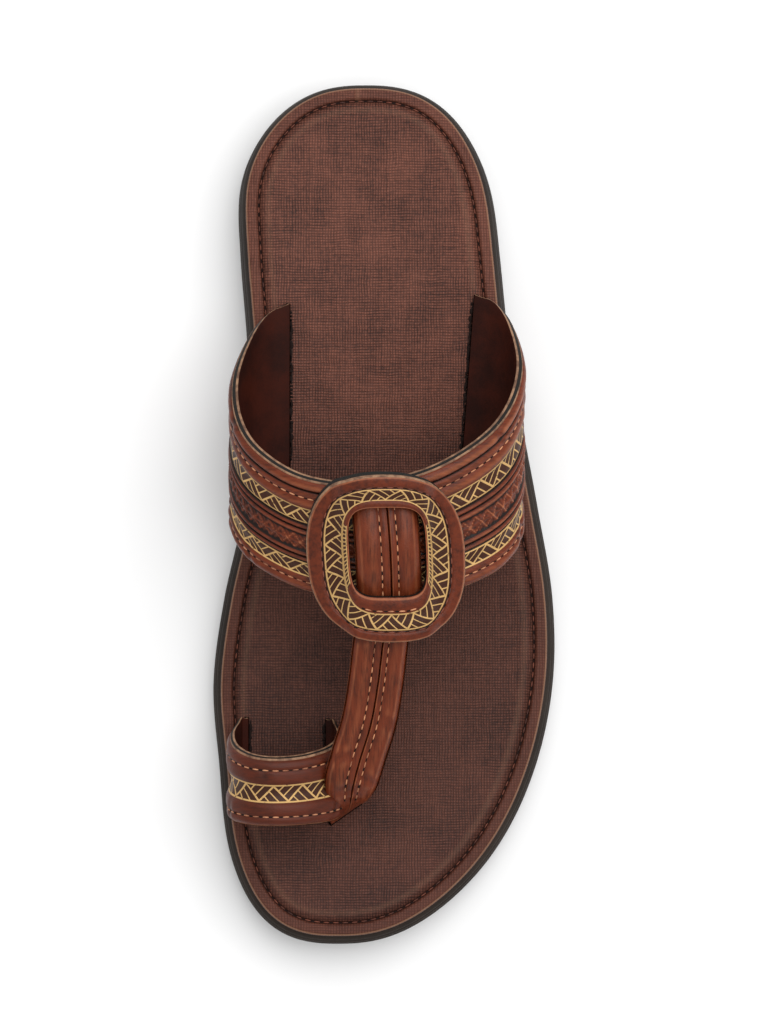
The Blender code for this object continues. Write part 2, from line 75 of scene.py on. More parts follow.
def smooth_step(low: float, high: float, value: Array | float) -> Array:
    """A smooth ramp.

    Args:
        low: Where the ramp starts.
        high: Where it ends.
        value: The places to read it at.

    Returns:
        0 up to low, 1 from high, and the ramp between them.
    """
    part = np.clip((np.asarray(value, dtype=float) - low) / (high - low), 0.0, 1.0)
    return part * part * (3.0 - 2.0 * part)


def hump(centre: float, half: float, value: Array | float) -> Array:
    """A smooth hump.

    Args:
        centre: The place of its top.
        half: The distance from its top to its foot.
        value: The places to read it at.

    Returns:
        1 at the centre, falling to 0 at its feet.
    """
    return smooth_step(0.0, 1.0, 1.0 - np.abs(np.asarray(value, dtype=float) - centre) / half)


def humps(rows: Rows, value: Array | float) -> Array:
    """Several humps together.

    Args:
        rows: For each hump its strength, its centre and the distance from its top to its foot.
        value: The places to read them at.

    Returns:
        Their sum.
    """
    return sum(strength * hump(centre, half, value) for strength, centre, half in rows)


def read_table(rows: Rows, shares: Array | float) -> Array:
    """Reads a table on a smooth curve through its rows.

    Args:
        rows: The table, whose first column is the share that it is read by.
        shares: The shares to read at, of any shape.

    Returns:
        The other columns, as the last axis.
    """
    table = np.array(rows, dtype=float)
    at, values = table[:, 0], table[:, 1:]
    slopes = np.gradient(values, at, axis=0)
    shares = np.clip(np.asarray(shares, dtype=float), at[0], at[-1])
    i = np.clip(np.searchsorted(at, shares, side="right") - 1, 0, len(at) - 2)
    step = (at[i + 1] - at[i])[..., None]
    u = (shares - at[i])[..., None] / step
    return (
        values[i] * (1 + 2 * u) * (1 - u) ** 2
        + slopes[i] * step * u * (1 - u) ** 2
        + values[i + 1] * u * u * (3 - 2 * u)
        + slopes[i + 1] * step * u * u * (u - 1)
    )


def unit(vectors: Array) -> Array:
    """Vectors along the last axis, each made one long."""
    return vectors / np.maximum(np.linalg.norm(vectors, axis=-1, keepdims=True), 1e-12)


def lengths_along(points: Array) -> Array:
    """The length along a line of points, from its first one."""
    steps = np.linalg.norm(np.diff(points, axis=0), axis=-1)
    return np.concatenate([[0.0], np.cumsum(steps)])


def read_line(lengths: Array, values: Array, at: Array) -> Array:
    """Reads rows of values along a line.

    Args:
        lengths: The length along the line of each row.
        values: The rows.
        at: The lengths to read them at.

    Returns:
        A row for each of those lengths.
    """
    return np.stack([np.interp(at, lengths, column) for column in values.T], axis=1)


def tint(red: int, green: int, blue: int) -> Colour:
    """A colour as it is seen, from 0 to 255 a channel, made linear for a shader."""
    return tuple((v / 255.0 / 12.92) if v <= 10 else ((v / 255.0 + 0.055) / 1.055) ** 2.4
                 for v in (red, green, blue))


# The sandal's forms


@dataclass(frozen=True)
class SoleForm:
    """The outline and the heights of the sole, which every other form stands on."""

    length: float = 0.286
    ball_width: float = 0.1122
    heel_height: float = 0.0215
    forefoot_height: float = 0.0135
    toe_spring: float = 0.0075
    toe_thinning: float = 0.0025
    spring_start: float = 0.76
    heel_drop: tuple[float, float] = (0.22, 0.64)
    heel_end: float = 0.29
    ball_start: float = 0.50
    waist_rise: float = 0.0030
    waist_ramp: float = 0.045
    squareness: float = 0.80
    seat_gap: float = 0.0003
    footbed_height: float = 0.0048
    fine_points: int = 2000
    outline_rows: Rows = (
        (0.0, -0.054, 0.580),
        (0.1, -0.058, 0.535),
        (0.2, -0.041, 0.458),
        (0.3, -0.018, 0.414),
        (0.4, 0.005, 0.411),
        (0.5, 0.020, 0.437),
        (0.6, 0.013, 0.493),
        (0.7, -0.003, 0.537),
        (0.8, -0.021, 0.554),
        (0.9, -0.069, 0.574),
        (1.0, -0.136, 0.570),
    )

    def _outline_at(self, angles: Array) -> Array:
        """Points of the widest outline: angle 0 is the heel's tip, pi the toe's, +X between them."""
        columns = read_table(self.outline_rows, (1.0 - np.cos(angles)) / 2.0) * self.ball_width
        side = np.sign(np.sin(angles)) * np.abs(np.sin(angles)) ** self.squareness
        x = columns[..., 0] + columns[..., 1] * side
        return np.stack([x, self.length / 2.0 * np.cos(angles)], axis=-1)

    def outline(self, count: int) -> tuple[Array, Array]:
        """The widest outline, centred across.

        Args:
            count: How many points it has.

        Returns:
            The points, and their inward normals.
        """
        points = self._outline_at(np.arange(count) * 2.0 * np.pi / count)
        fine = self._outline_at(np.linspace(0.0, 2.0 * np.pi, self.fine_points))
        points[:, 0] -= (fine[:, 0].min() + fine[:, 0].max()) / 2.0
        ahead = np.roll(points, -1, axis=0) - np.roll(points, 1, axis=0)
        return points, unit(np.stack([ahead[:, 1], -ahead[:, 0]], axis=1))

    def loop(self, count: int, reach: float) -> tuple[Array, Array, Array]:
        """The widest outline closed on itself, with the spine inside it.

        Args:
            count: How many points the outline has before it is closed.
            reach: The spine's length as a share of the outline's.

        Returns:
            The outline's points, their inward normals, and the spine's point for each of them.
        """
        points, inward = (np.concatenate([line, line[:1]]) for line in self.outline(count))
        middle_x = (points[:, 0] + points[::-1, 0]) / 2.0
        return points, inward, np.stack([middle_x, points[:, 1] * reach], axis=1)

    def _share(self, y: Array) -> Array:
        """How far along the sole a place lies, 0 at the heel's tip and 1 at the toe's."""
        return np.clip(0.5 - np.asarray(y) / self.length, 0.0, 1.0)

    def _spring(self, share: Array) -> Array:
        """How much of the toe's spring a share has."""
        return np.maximum(0.0, (share - self.spring_start) / (1.0 - self.spring_start)) ** 2

    def under(self, y: Array) -> Array:
        """The underside's height above the floor at each y."""
        share = self._share(y)
        waist = smooth_step(self.heel_end, self.heel_end + self.waist_ramp, share)
        waist = waist - smooth_step(self.ball_start - self.waist_ramp, self.ball_start, share)
        return self.toe_spring * self._spring(share) + self.waist_rise * waist

    def top(self, y: Array) -> Array:
        """The height at each y of the outsole's upper face, which the footbed lies on."""
        share = self._share(y)
        drop = smooth_step(*self.heel_drop, share)
        flat = self.heel_height + (self.forefoot_height - self.heel_height) * drop
        return flat + (self.toe_spring - self.toe_thinning) * self._spring(share)

    def ground(self, y: Array) -> Array:
        """The height at each y of the footbed's cushion, where the straps go in."""
        return self.top(y) + self.seat_gap + self.footbed_height


@dataclass(frozen=True)
class ArchForm:
    """An arched strap over the foot: the sizes of its rear and front rims, and of its feet."""

    sole: SoleForm
    centre: float
    half_width: float
    slot_half_gaps: tuple[float, float]
    apexes: tuple[float, float]
    rises: tuple[float, float]
    setbacks: tuple[float, float]
    turns: tuple[float, float]
    shift: float
    wall: float
    flare: tuple[float, float, float] = (0.12, 0.13, 0.055)
    side: Rows = (
        (0.28, 0.93, 0.20),
        (0.42, 1.00, 0.41),
        (0.56, 0.945, 0.62),
        (0.70, 0.775, 0.79),
        (0.85, 0.43, 0.945),
    )
    relief_start: float = 0.16
    plain_foot: float = 0.02
    probe: float = 0.01

    def _arch(self, which: int) -> Rows:
        """A rim's whole arch, from the foot at -X to that at +X."""
        foot = self.slot_half_gaps[which] / self.half_width
        share, across, height = self.flare
        side = ((0.0, foot, 0.0), (share, foot + across, height), *self.side)
        other = tuple((2.0 - share, -across, height) for share, across, height in reversed(side))
        return (*side, (1.0, 0.0, 1.0), *other)

    def _rim(self, shares: Array, which: int) -> Array:
        """A rim's points, with their heights over the footbed."""
        columns = read_table(self._arch(which), shares)
        across, height = columns[..., 0], columns[..., 1]
        x = -across * self.half_width + self.shift * height ** 3
        pivot = self.setbacks[which] * 0.5
        y = self.setbacks[which] * (1.0 - height) - pivot
        turn = self.turns[which]
        turned_x = x * math.cos(turn) + y * math.sin(turn)
        turned_y = x * math.sin(turn) + y * math.cos(turn) + pivot
        rise = self.rises[which] * height
        return np.stack([self.centre + turned_x, self.apexes[which] + turned_y, rise], axis=-1)

    def at(self, shares: Array, across: Array) -> Array:
        """Points of the outer face.

        Args:
            shares: Places along the arch, 0 at -X's foot, 1 at the top and 2 at +X's foot.
            across: Places across it, 0 at the rear rim and 1 at the front rim.

        Returns:
            The points, in the two arrays' common shape.
        """
        shares, across = np.broadcast_arrays(np.asarray(shares, float), np.asarray(across, float))
        part = across[..., None]
        points = self._rim(shares, 0) * (1.0 - part) + self._rim(shares, 1) * part
        points[..., 2] += self.sole.ground(points[..., 1])
        return points

    def ways(self, shares: Array, across: Array) -> tuple[Array, Array, Array]:
        """The directions over the strap, along it and out of it, at the same places as for at()."""
        step = self.probe
        over = unit(self.at(shares, across + step) - self.at(shares, across - step))
        along = unit(self.at(shares + step, across) - self.at(shares - step, across))
        return over, along, unit(np.cross(over, along))

    def strength(self, shares: Array) -> Array:
        """How much of its relief the face has along the arch; the feet are plain."""
        return smooth_step(self.plain_foot, self.relief_start, 1.0 - np.abs(shares - 1.0))

    def lengths(self, across: float, samples: int = 400) -> tuple[Array, Array]:
        """Shares along the arch and their lengths from its top, at one place across it."""
        shares = np.linspace(0.0, 2.0, samples)
        lengths = lengths_along(self.at(shares, across))
        return shares, lengths - np.interp(1.0, shares, lengths)


@dataclass(frozen=True)
class CrossingForm:
    """Where things lie on the wide strap, measured along its arch from its top."""

    strap: ArchForm
    side: float = 0.0068
    frame_place: float = 0.598
    middle_wall: float = 0.0026
    middle_width: float = 0.0205
    frame_gap: float = 0.0009
    step_gap: float = 0.0006
    step_run: float = 0.0065

    def share(self, side: Array) -> Array:
        """The arch's shares at these lengths from its top."""
        shares, lengths = self.strap.lengths(self.frame_place)
        return np.interp(side, lengths, shares)

    def frame_point(self, side: Array, back: Array, height: Array) -> Array:
        """Points of the frame over the crossing.

        Args:
            side: Distances from the frame's middle along the arch, towards +X.
            back: Distances from its middle towards the heel.
            height: Heights over its underside.

        Returns:
            The points.
        """
        middle = self.share(self.side)
        over = self.strap.at(middle, 0.0) - self.strap.at(middle, 1.0)
        level_part = over[1] / np.linalg.norm(over)
        middle_y = self.strap.at(middle, self.frame_place)[1]
        share = self.share(self.side + side)
        rear_y, front_y = (self.strap.at(share, rim)[..., 1] for rim in (0.0, 1.0))
        across = (rear_y - middle_y - back * level_part) / (rear_y - front_y)
        past_strap = np.abs(side) - self.middle_width / 2.0
        over_strap = 1.0 - smooth_step(0.0, self.step_run, past_strap)
        lift = self.frame_gap + over_strap * (self.middle_wall + self.step_gap)
        _, _, out = self.strap.ways(share, across)
        return self.strap.at(share, across) + out * (lift + height)[..., None]


@dataclass(frozen=True)
class MiddleForm:
    """The middle strap's path, from its end under the frame to the toe post, and its width."""

    crossing: CrossingForm
    width: float = 0.0205
    wall: float = 0.0026
    sink: float = 0.0006
    post_width: float = 0.0125
    post_x: float = -0.0125
    post_y: float = -0.1005
    post_swing: float = 0.70
    post_start: float = 0.78
    post_end: float = 0.93
    window_width: float = 0.0212
    trim: float = 0.0024
    trim_shift: float = 0.30
    window_end: tuple[float, float] = (0.26, 0.36)
    path_probe: float = 0.02
    probe: tuple[float, float] = (0.01, 0.004)
    on_vamp: Rows = (
        (0.05, 0.0), (0.14, 0.0004), (0.26, 0.0022), (0.40, 0.0038), (0.58, 0.0044), (0.74, 0.0034),
        (0.86, 0.0016), (0.96, 0.0006),
    )
    to_toe: Rows = (
        (0.20, 0.14, 0.92, -0.05, -0.10),
        (0.40, 0.26, 0.80, -0.15, -0.12),
        (0.58, 0.42, 0.69, -0.28, -0.15),
        (0.74, 0.66, 0.60, -0.35, -0.20),
        (0.86, 0.82, 0.50, -0.20, -0.25),
        (0.94, 0.91, 0.36, 0.15, -0.15),
        (0.985, 0.97, 0.20, 0.55, -0.03),
        (0.998, 0.995, 0.09, 0.68, 0.0),
    )

    @property
    def sole(self) -> SoleForm:
        """The sole that the strap stands on."""
        return self.crossing.strap.sole

    def path(self) -> Rows:
        """The centre line and its swing and dip, each row led by its share of the whole length."""
        vamp = self.crossing.strap
        share = self.crossing.share(self.crossing.side)
        rows = []
        for across, lift in self.on_vamp:
            _, along, out = vamp.ways(share, np.asarray(across))
            point = vamp.at(share, across) + out * (lift + self.wall - self.sink)
            rows.append((*point, *(along[1:] / along[0])))
        start = vamp.at(share, 1.0)
        for forward, across, height, swing, dip in self.to_toe:
            y = start[1] + (self.post_y - start[1]) * forward
            x = start[0] + (self.post_x - start[0]) * across
            rows.append((x, y, vamp.sole.ground(y) + vamp.rises[1] * height, swing, dip))
        rows.append((self.post_x, self.post_y, vamp.sole.ground(self.post_y), self.post_swing, 0.0))
        rows = np.array(rows, dtype=float)
        lengths = lengths_along(rows[:, :3])
        return tuple((length / lengths[-1], *row) for length, row in zip(lengths, rows))

    def at(self, shares: Array, across: Array) -> Array:
        """Points of the strap's face: across is 0 at its +X edge and 1 at its -X edge."""
        shares, across = np.broadcast_arrays(np.asarray(shares, float), np.asarray(across, float))
        path, probe = self.path(), self.path_probe
        here = read_table(path, shares)
        ahead = read_table(path, shares + probe)[..., :3] - read_table(path, shares - probe)[..., :3]
        side = np.stack([np.ones_like(shares), here[..., 3], here[..., 4]], axis=-1)
        lean = np.sum(ahead * side, axis=-1, keepdims=True) / np.sum(ahead ** 2, axis=-1, keepdims=True)
        side = unit(side - ahead * lean)
        past_window, narrowing = smooth_step(*self.window_end, shares), self.narrowing(shares)
        width = self.width + (self.post_width - self.width) * narrowing
        width = width + (self.window_width - self.width) * (1.0 - past_window)
        trim = self.trim * past_window * (1.0 - narrowing)
        reach = (width - trim) * (0.5 - across) - self.trim_shift * trim
        return here[..., :3] + side * reach[..., None]

    def narrowing(self, shares: Array) -> Array:
        """0 where the strap has its full width, and 1 at the toe post."""
        return smooth_step(self.post_start, self.post_end, shares)

    def ways(self, shares: Array, across: Array) -> tuple[Array, Array, Array]:
        """The directions over the strap, along it and out of it, at the same places as for at()."""
        aside, ahead = self.probe
        over = unit(self.at(shares, across + aside) - self.at(shares, across - aside))
        along = unit(self.at(shares + ahead, across) - self.at(shares - ahead, across))
        return over, along, unit(np.cross(over, along))

    def strength(self, shares: Array) -> Array:
        """How much of its relief the face has along the strap; the toe post is plain."""
        return 1.0 - self.narrowing(shares)


# Modelling

MERGE_DISTANCE = 1e-6
SMOOTH_ANGLE = math.radians(50.0)
CORNER_BENDS = np.radians([30.0, 60.0, 90.0])
# The tone of a strap's corners: rubbed wear with a painted highlight.
CORNER_TONE = 0.6
EDGE_DEPTHS = np.array([0.4, 0.7])
UP = np.array([0.0, 0.0, 1.0])


class Zone(Enum):
    """The parts of a piece that wear different finishes, in the order of its material slots."""

    FACE = 0
    CORNER = 1
    EDGE = 2
    LINING = 3


class Bench:
    """Blender's own modelling tools, put to this sandal's pieces."""

    @staticmethod
    def clear_selection() -> None:
        """Deselects every object."""
        for other in bpy.context.view_layer.objects:
            other.select_set(False)

    @staticmethod
    def pick(obj: bpy.types.Object) -> None:
        """Makes one object the selected and active one."""
        Bench.clear_selection()
        obj.select_set(True)
        bpy.context.view_layer.objects.active = obj

    @staticmethod
    def sheet(name: str, places: Array, uv: Array | None = None, marks: dict[str, Array] | None = None,
              zones: Array | None = None) -> bpy.types.Object:
        """A piece from a grid primitive, with its points drawn to their places.

        Args:
            name: The piece's name.
            places: The points, as rows by columns by three.
            uv: The pattern's coordinates at each point, or None.
            marks: Numbers at each point that the finish reads by name, such as "tone", or None.
            zones: The zone of the faces after each column, or None for one zone.

        Returns:
            The object, with its doubles merged and its open ends closed.
        """
        rows, columns = places.shape[:2]
        Bench.clear_selection()
        bpy.ops.mesh.primitive_grid_add(x_subdivisions=columns - 1, y_subdivisions=rows - 1, size=2.0)
        obj = bpy.context.object
        obj.name = name
        mesh = obj.data
        mesh.name = name
        start = np.empty(len(mesh.vertices) * 3, dtype=np.float32)
        mesh.vertices.foreach_get("co", start)
        start = start.reshape(-1, 3)
        column = np.rint((start[:, 0] + 1.0) / 2.0 * (columns - 1)).astype(int)
        row = np.rint((start[:, 1] + 1.0) / 2.0 * (rows - 1)).astype(int)
        if zones is not None:
            centres = np.empty(len(mesh.polygons) * 3, dtype=np.float32)
            mesh.polygons.foreach_get("center", centres)
            face_column = np.floor((centres[0::3] + 1.0) / 2.0 * (columns - 1)).astype(int)
            mesh.polygons.foreach_set("material_index", zones[face_column].astype(np.int32))
        if uv is not None:
            corners = np.empty(len(mesh.loops), dtype=np.int32)
            mesh.loops.foreach_get("vertex_index", corners)
            flat = uv[row, column][corners].astype(np.float32)
            mesh.uv_layers.active.data.foreach_set("uv", flat.ravel())
        for key, values in (marks or {}).items():
            layer = mesh.attributes.new(key, "FLOAT", "POINT")
            layer.data.foreach_set("value", values[row, column].astype(np.float32))
        mesh.vertices.foreach_set("co", places[row, column].astype(np.float32).ravel())
        mesh.update()
        Bench.close(obj)
        return obj

    @staticmethod
    def close(obj: bpy.types.Object) -> None:
        """Merges a piece's doubles, closes its open ends and turns its faces outwards."""
        Bench.pick(obj)
        bpy.ops.object.mode_set(mode="EDIT")
        bpy.ops.mesh.select_all(action="SELECT")
        bpy.ops.mesh.remove_doubles(threshold=MERGE_DISTANCE)
        bpy.ops.mesh.fill_holes(sides=0)
        bpy.ops.mesh.select_all(action="SELECT")
        bpy.ops.mesh.normals_make_consistent(inside=False)
        bpy.ops.object.mode_set(mode="OBJECT")
        bpy.ops.object.shade_smooth_by_angle(angle=SMOOTH_ANGLE)

    @staticmethod
    def box(size: tuple[float, float, float], place: Array, turn: float, bevel: float) -> bpy.types.Object:
        """A cube primitive with softened edges.

        Args:
            size: Its sizes along x, y and z, before it is turned.
            place: Its centre.
            turn: Its turn about z.
            bevel: The width of its softened edges.

        Returns:
            The object, with its place in its mesh.
        """
        Bench.clear_selection()
        bpy.ops.mesh.primitive_cube_add(size=1.0, location=tuple(place), rotation=(0.0, 0.0, turn))
        obj = bpy.context.object
        obj.scale = size
        bpy.ops.object.transform_apply(location=True, rotation=True, scale=True)
        bpy.ops.object.mode_set(mode="EDIT")
        bpy.ops.mesh.select_all(action="SELECT")
        bpy.ops.mesh.bevel(offset=bevel, segments=2, affect="EDGES")
        bpy.ops.object.mode_set(mode="OBJECT")
        return obj

    @staticmethod
    def cut(obj: bpy.types.Object, cutters: list[bpy.types.Object]) -> None:
        """Cuts shapes that stand clear of each other out of a piece, in one Boolean."""
        Bench.clear_selection()
        for cutter in cutters:
            cutter.select_set(True)
        bpy.context.view_layer.objects.active = cutters[0]
        bpy.ops.object.join()
        modifier = obj.modifiers.new("cut", "BOOLEAN")
        modifier.operation = "DIFFERENCE"
        modifier.solver = "EXACT"
        modifier.object = cutters[0]
        Bench.pick(obj)
        bpy.ops.object.modifier_apply(modifier="cut")
        bpy.data.objects.remove(cutters[0])
        bpy.ops.object.shade_smooth_by_angle(angle=SMOOTH_ANGLE)

    @staticmethod
    def copies(name: str, pattern: bpy.types.Object, frames: Array) -> bpy.types.Object:
        """Copies a small piece along a row, as one joined mesh.

        Args:
            name: The joined piece's name.
            pattern: The small piece, which is used up.
            frames: A 4 by 4 matrix for each copy.

        Returns:
            The joined object.
        """
        mesh = pattern.data
        points = np.empty(len(mesh.vertices) * 3, dtype=np.float32)
        mesh.vertices.foreach_get("co", points)
        points = np.concatenate([points.reshape(-1, 3), np.ones((len(mesh.vertices), 1))], axis=1)
        moved = np.einsum("nij,pj->npi", frames, points)[..., :3].reshape(-1, 3)
        faces = [list(face.vertices) for face in mesh.polygons]
        count = len(points)
        joined = bpy.data.meshes.new(name)
        joined.from_pydata(moved.tolist(), [], [
            [corner + i * count for corner in face] for i in range(len(frames)) for face in faces
        ])
        joined.polygons.foreach_set("use_smooth", np.ones(len(joined.polygons), dtype=bool))
        joined.update()
        obj = bpy.data.objects.new(name, joined)
        bpy.context.scene.collection.objects.link(obj)
        bpy.data.objects.remove(pattern)
        return obj


def hand_over(obj: bpy.types.Object, finishes: list[bpy.types.Material],
              replaces: tuple[str, ...] = ()) -> None:
    """Dresses a finished piece and says what it rides on.

    Args:
        obj: The piece.
        finishes: Its materials, in the order of its slots.
        replaces: The solids that it stands for.
    """
    for finish in finishes:
        obj.data.materials.append(finish)
    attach(obj, "root")
    if replaces:
        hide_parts(*replaces)
    log.info("%s: %d faces", obj.name, len(obj.data.polygons))


@dataclass(frozen=True)
class Section:
    """A strap's closed cross-section, point by point, from its rear outer corner round."""

    across: Array
    past: Array
    depth: Array
    tone: Array
    zones: Array
    lean: Array

    @staticmethod
    def of_strap(wall: float, corner: float, outer: int, inner: int, relief: Callable[[Array], Array],
                 tone: Callable[[Array], Array], lean: float) -> "Section":
        """A flat strap with softened corners.

        Args:
            wall: Its thickness.
            corner: The radius of its corners.
            outer: How many columns its outer face has.
            inner: How many its lining has.
            relief: The outer face's relief at each share across.
            tone: The outer face's tone at each share across.
            lean: How much further to the rear the rear edge stands at the lining than at the face.

        Returns:
            The section, whose last point is its first again.
        """
        face, face_past = np.linspace(0.0, 1.0, outer), np.zeros(outer)
        face_past[0], face_past[-1] = corner, -corner
        lining, lining_past = np.linspace(1.0, 0.0, inner), np.zeros(inner)
        lining_past[0], lining_past[-1] = -corner, corner
        out, down = corner * (np.sin(CORNER_BENDS) - 1.0), corner * (1.0 - np.cos(CORNER_BENDS))
        depths, plain = wall * EDGE_DEPTHS, np.zeros(len(EDGE_DEPTHS))
        zeros, rubbed_and_highlight = np.zeros(len(CORNER_BENDS)), np.full(len(CORNER_BENDS), CORNER_TONE)
        level = relief(face)
        parts = [
            (face, face_past, -level, tone(face), Zone.FACE),
            (zeros + 1.0, out, down - level[-1], rubbed_and_highlight, Zone.CORNER),
            (plain + 1.0, plain, depths, plain, Zone.EDGE),
            (zeros + 1.0, out[::-1], wall - down[::-1], rubbed_and_highlight, Zone.CORNER),
            (lining, lining_past, np.full(inner, wall), np.zeros(inner), Zone.LINING),
            (zeros, -out, wall - down, rubbed_and_highlight, Zone.CORNER),
            (plain, plain, depths[::-1], plain, Zone.EDGE),
            (zeros, -out[::-1], down[::-1] - level[0], rubbed_and_highlight, Zone.CORNER),
        ]
        columns = [np.concatenate([part[i] for part in parts]) for i in range(4)]
        zones = np.concatenate([np.full(len(part[0]), part[4].value) for part in parts])
        closed = [np.append(column, column[0]) for column in columns]
        rear = (closed[0] <= 0.0) & (np.arange(len(zones) + 1) > outer)
        leaning = np.where(rear, lean * np.clip(closed[2] / wall, 0.0, 1.0), 0.0)
        leaning[-1] = 0.0
        return Section(*closed, zones, leaning)

    def sweep(self, form: ArchForm | MiddleForm, shares: Array,
              detail: Callable[[Array, Array], tuple[Array, Array]]) -> tuple[Array, Array]:
        """Draws the section along a strap.

        Args:
            form: The strap's form.
            shares: The places along it.
            detail: More relief and tone of the outer face, at shares along and across it.

        Returns:
            The points and their tones, as stations by section points.
        """
        along, across = shares[:, None], self.across[None, :]
        over, _, out = form.ways(along, across)
        strength = form.strength(along)
        face = (np.arange(len(self.across)) < np.argmax(self.zones == Zone.CORNER.value))[None, :]
        more, more_tone = detail(along, across)
        depth = np.where(face, (self.depth - more) * strength, self.depth)
        tone = np.where(face, self.tone + more_tone * strength, self.tone)
        past = self.past[None, :] - self.lean[None, :] * strength
        points = form.at(along, across) + over * past[..., None] - out * depth[..., None]
        return points, np.clip(tone, -1.0, 1.0)


@dataclass(frozen=True)
class Crease:
    """A soft trough across a strap between two low ridges."""

    share: float
    across: float
    reach: float
    width: float
    slant: float
    depth: float
    ridge_place: float = 2.0
    ridge_height: float = 0.45
    ridge_tone: float = 0.12
    trough_tone: float = 0.40

    def relief(self, shares: Array, across: Array) -> tuple[Array, Array]:
        """Its relief and tone: painted shade in the trough, and a lighter tone on the ridges.

        Args:
            shares: Places along the strap.
            across: Places across it.

        Returns:
            The height over the face and the tone, in the two arrays' common shape.
        """
        off = (shares - self.share - self.slant * (across - self.across)) / self.width
        fade = hump(self.across, self.reach, across)
        trough = np.exp(-off ** 2)
        ridge = np.exp(-(np.abs(off) - self.ridge_place) ** 2)
        height = self.depth * fade * (self.ridge_height * ridge - trough)
        return height, fade * (self.ridge_tone * ridge - self.trough_tone * trough)


def creased(creases: tuple[Crease, ...], shares: Array, across: Array) -> tuple[Array, Array]:
    """The relief and tone of several creases together, at places along and across a strap."""
    parts = [crease.relief(shares, across) for crease in creases]
    return sum(part[0] for part in parts), sum(part[1] for part in parts)


def with_ends(rows: Array, feet: tuple[bool, bool]) -> Array:
    """Rows along a strap, with the first and the last one repeated for the feet that it has."""
    first, last = (int(foot) for foot in feet)
    return np.concatenate([rows[:first], rows, rows[len(rows) - last:]])


def with_feet(points: Array, sole: SoleForm, feet: tuple[bool, bool]) -> Array:
    """A strap's grid with its feet.

    Args:
        points: The grid, without them.
        sole: The sole that they stand just above.
        feet: Whether the strap has one at its first and at its last row.

    Returns:
        The grid, with a row more for each foot, straight below the end of the strap.
    """
    grid = with_ends(points, feet)
    for foot, row in zip(feet, (grid[0], grid[-1])):
        if foot:
            row[:, 2] = sole.top(row[:, 1]) + 2.0 * sole.seat_gap
    return grid


# Shader nodes as Python expressions

Operand = "Level | float"

# The Mix node's sockets when it mixes colours.
MIX_PART, MIX_LOW, MIX_HIGH, MIX_COLOUR = 0, 6, 7, 2


@dataclass(frozen=True)
class Level:
    """A number, colour or vector that changes over a surface: a node's output, with operators."""

    nodes: "NodeTable"
    socket: bpy.types.NodeSocket

    def _math(self, operation: str, *values: Operand) -> "Level":
        """Adds one Math node on these values."""
        settings = {"operation": operation}
        return self.nodes.add("ShaderNodeMath", settings, dict(enumerate(values)))

    def __add__(self, other: Operand) -> "Level":
        """Self plus other."""
        return self._math("ADD", self, other)

    def __radd__(self, other: Operand) -> "Level":
        """Other plus self."""
        return self._math("ADD", other, self)

    def __sub__(self, other: Operand) -> "Level":
        """Self less other."""
        return self._math("SUBTRACT", self, other)

    def __rsub__(self, other: Operand) -> "Level":
        """Other less self."""
        return self._math("SUBTRACT", other, self)

    def __mul__(self, other: Operand) -> "Level":
        """Self times other."""
        return self._math("MULTIPLY", self, other)

    def __rmul__(self, other: Operand) -> "Level":
        """Other times self."""
        return self._math("MULTIPLY", other, self)

    def __neg__(self) -> "Level":
        """Self with its sign turned."""
        return self._math("MULTIPLY", self, -1.0)

    def __abs__(self) -> "Level":
        """Self without its sign."""
        return self._math("ABSOLUTE", self)

    def __lt__(self, other: Operand) -> "Level":
        """1 where self is less than other."""
        return self._math("LESS_THAN", self, other)

    def __gt__(self, other: Operand) -> "Level":
        """1 where self is more than other."""
        return self._math("GREATER_THAN", self, other)

    def higher(self, other: Operand) -> "Level":
        """The higher of self and other."""
        return self._math("MAXIMUM", self, other)

    def lower(self, other: Operand) -> "Level":
        """The lower of self and other."""
        return self._math("MINIMUM", self, other)

    def to_nearest(self, spacing: float) -> "Level":
        """The distance to the nearest multiple of a spacing."""
        return self._math("PINGPONG", self, spacing / 2.0)

    def step(self, low: float, high: float) -> "Level":
        """A smooth ramp, 0 at low and 1 at high; high may be the lesser."""
        settings = {"interpolation_type": "SMOOTHSTEP"}
        turned = low > high
        ends = {1: high, 2: low} if turned else {1: low, 2: high}
        made = self.nodes.add("ShaderNodeMapRange", settings, {0: self, **ends})
        return 1.0 - made if turned else made

    def under(self, limit: float, blur: float) -> "Level":
        """1 up to a limit and 0 past it, with a soft step between them."""
        return self.step(limit + blur, limit - blur)


def blend(first: Level, second: Level, part: float) -> Level:
    """Two levels together: the first one by its part, and the second by the rest."""
    return first * part + second * (1.0 - part)


@dataclass(frozen=True)
class Grain:
    """A cloudy grain: its size, or its sizes along x, y and z, its finer layers and their strength."""

    size: float | tuple[float, float, float]
    detail: float = 2.0
    roughness: float = 0.5


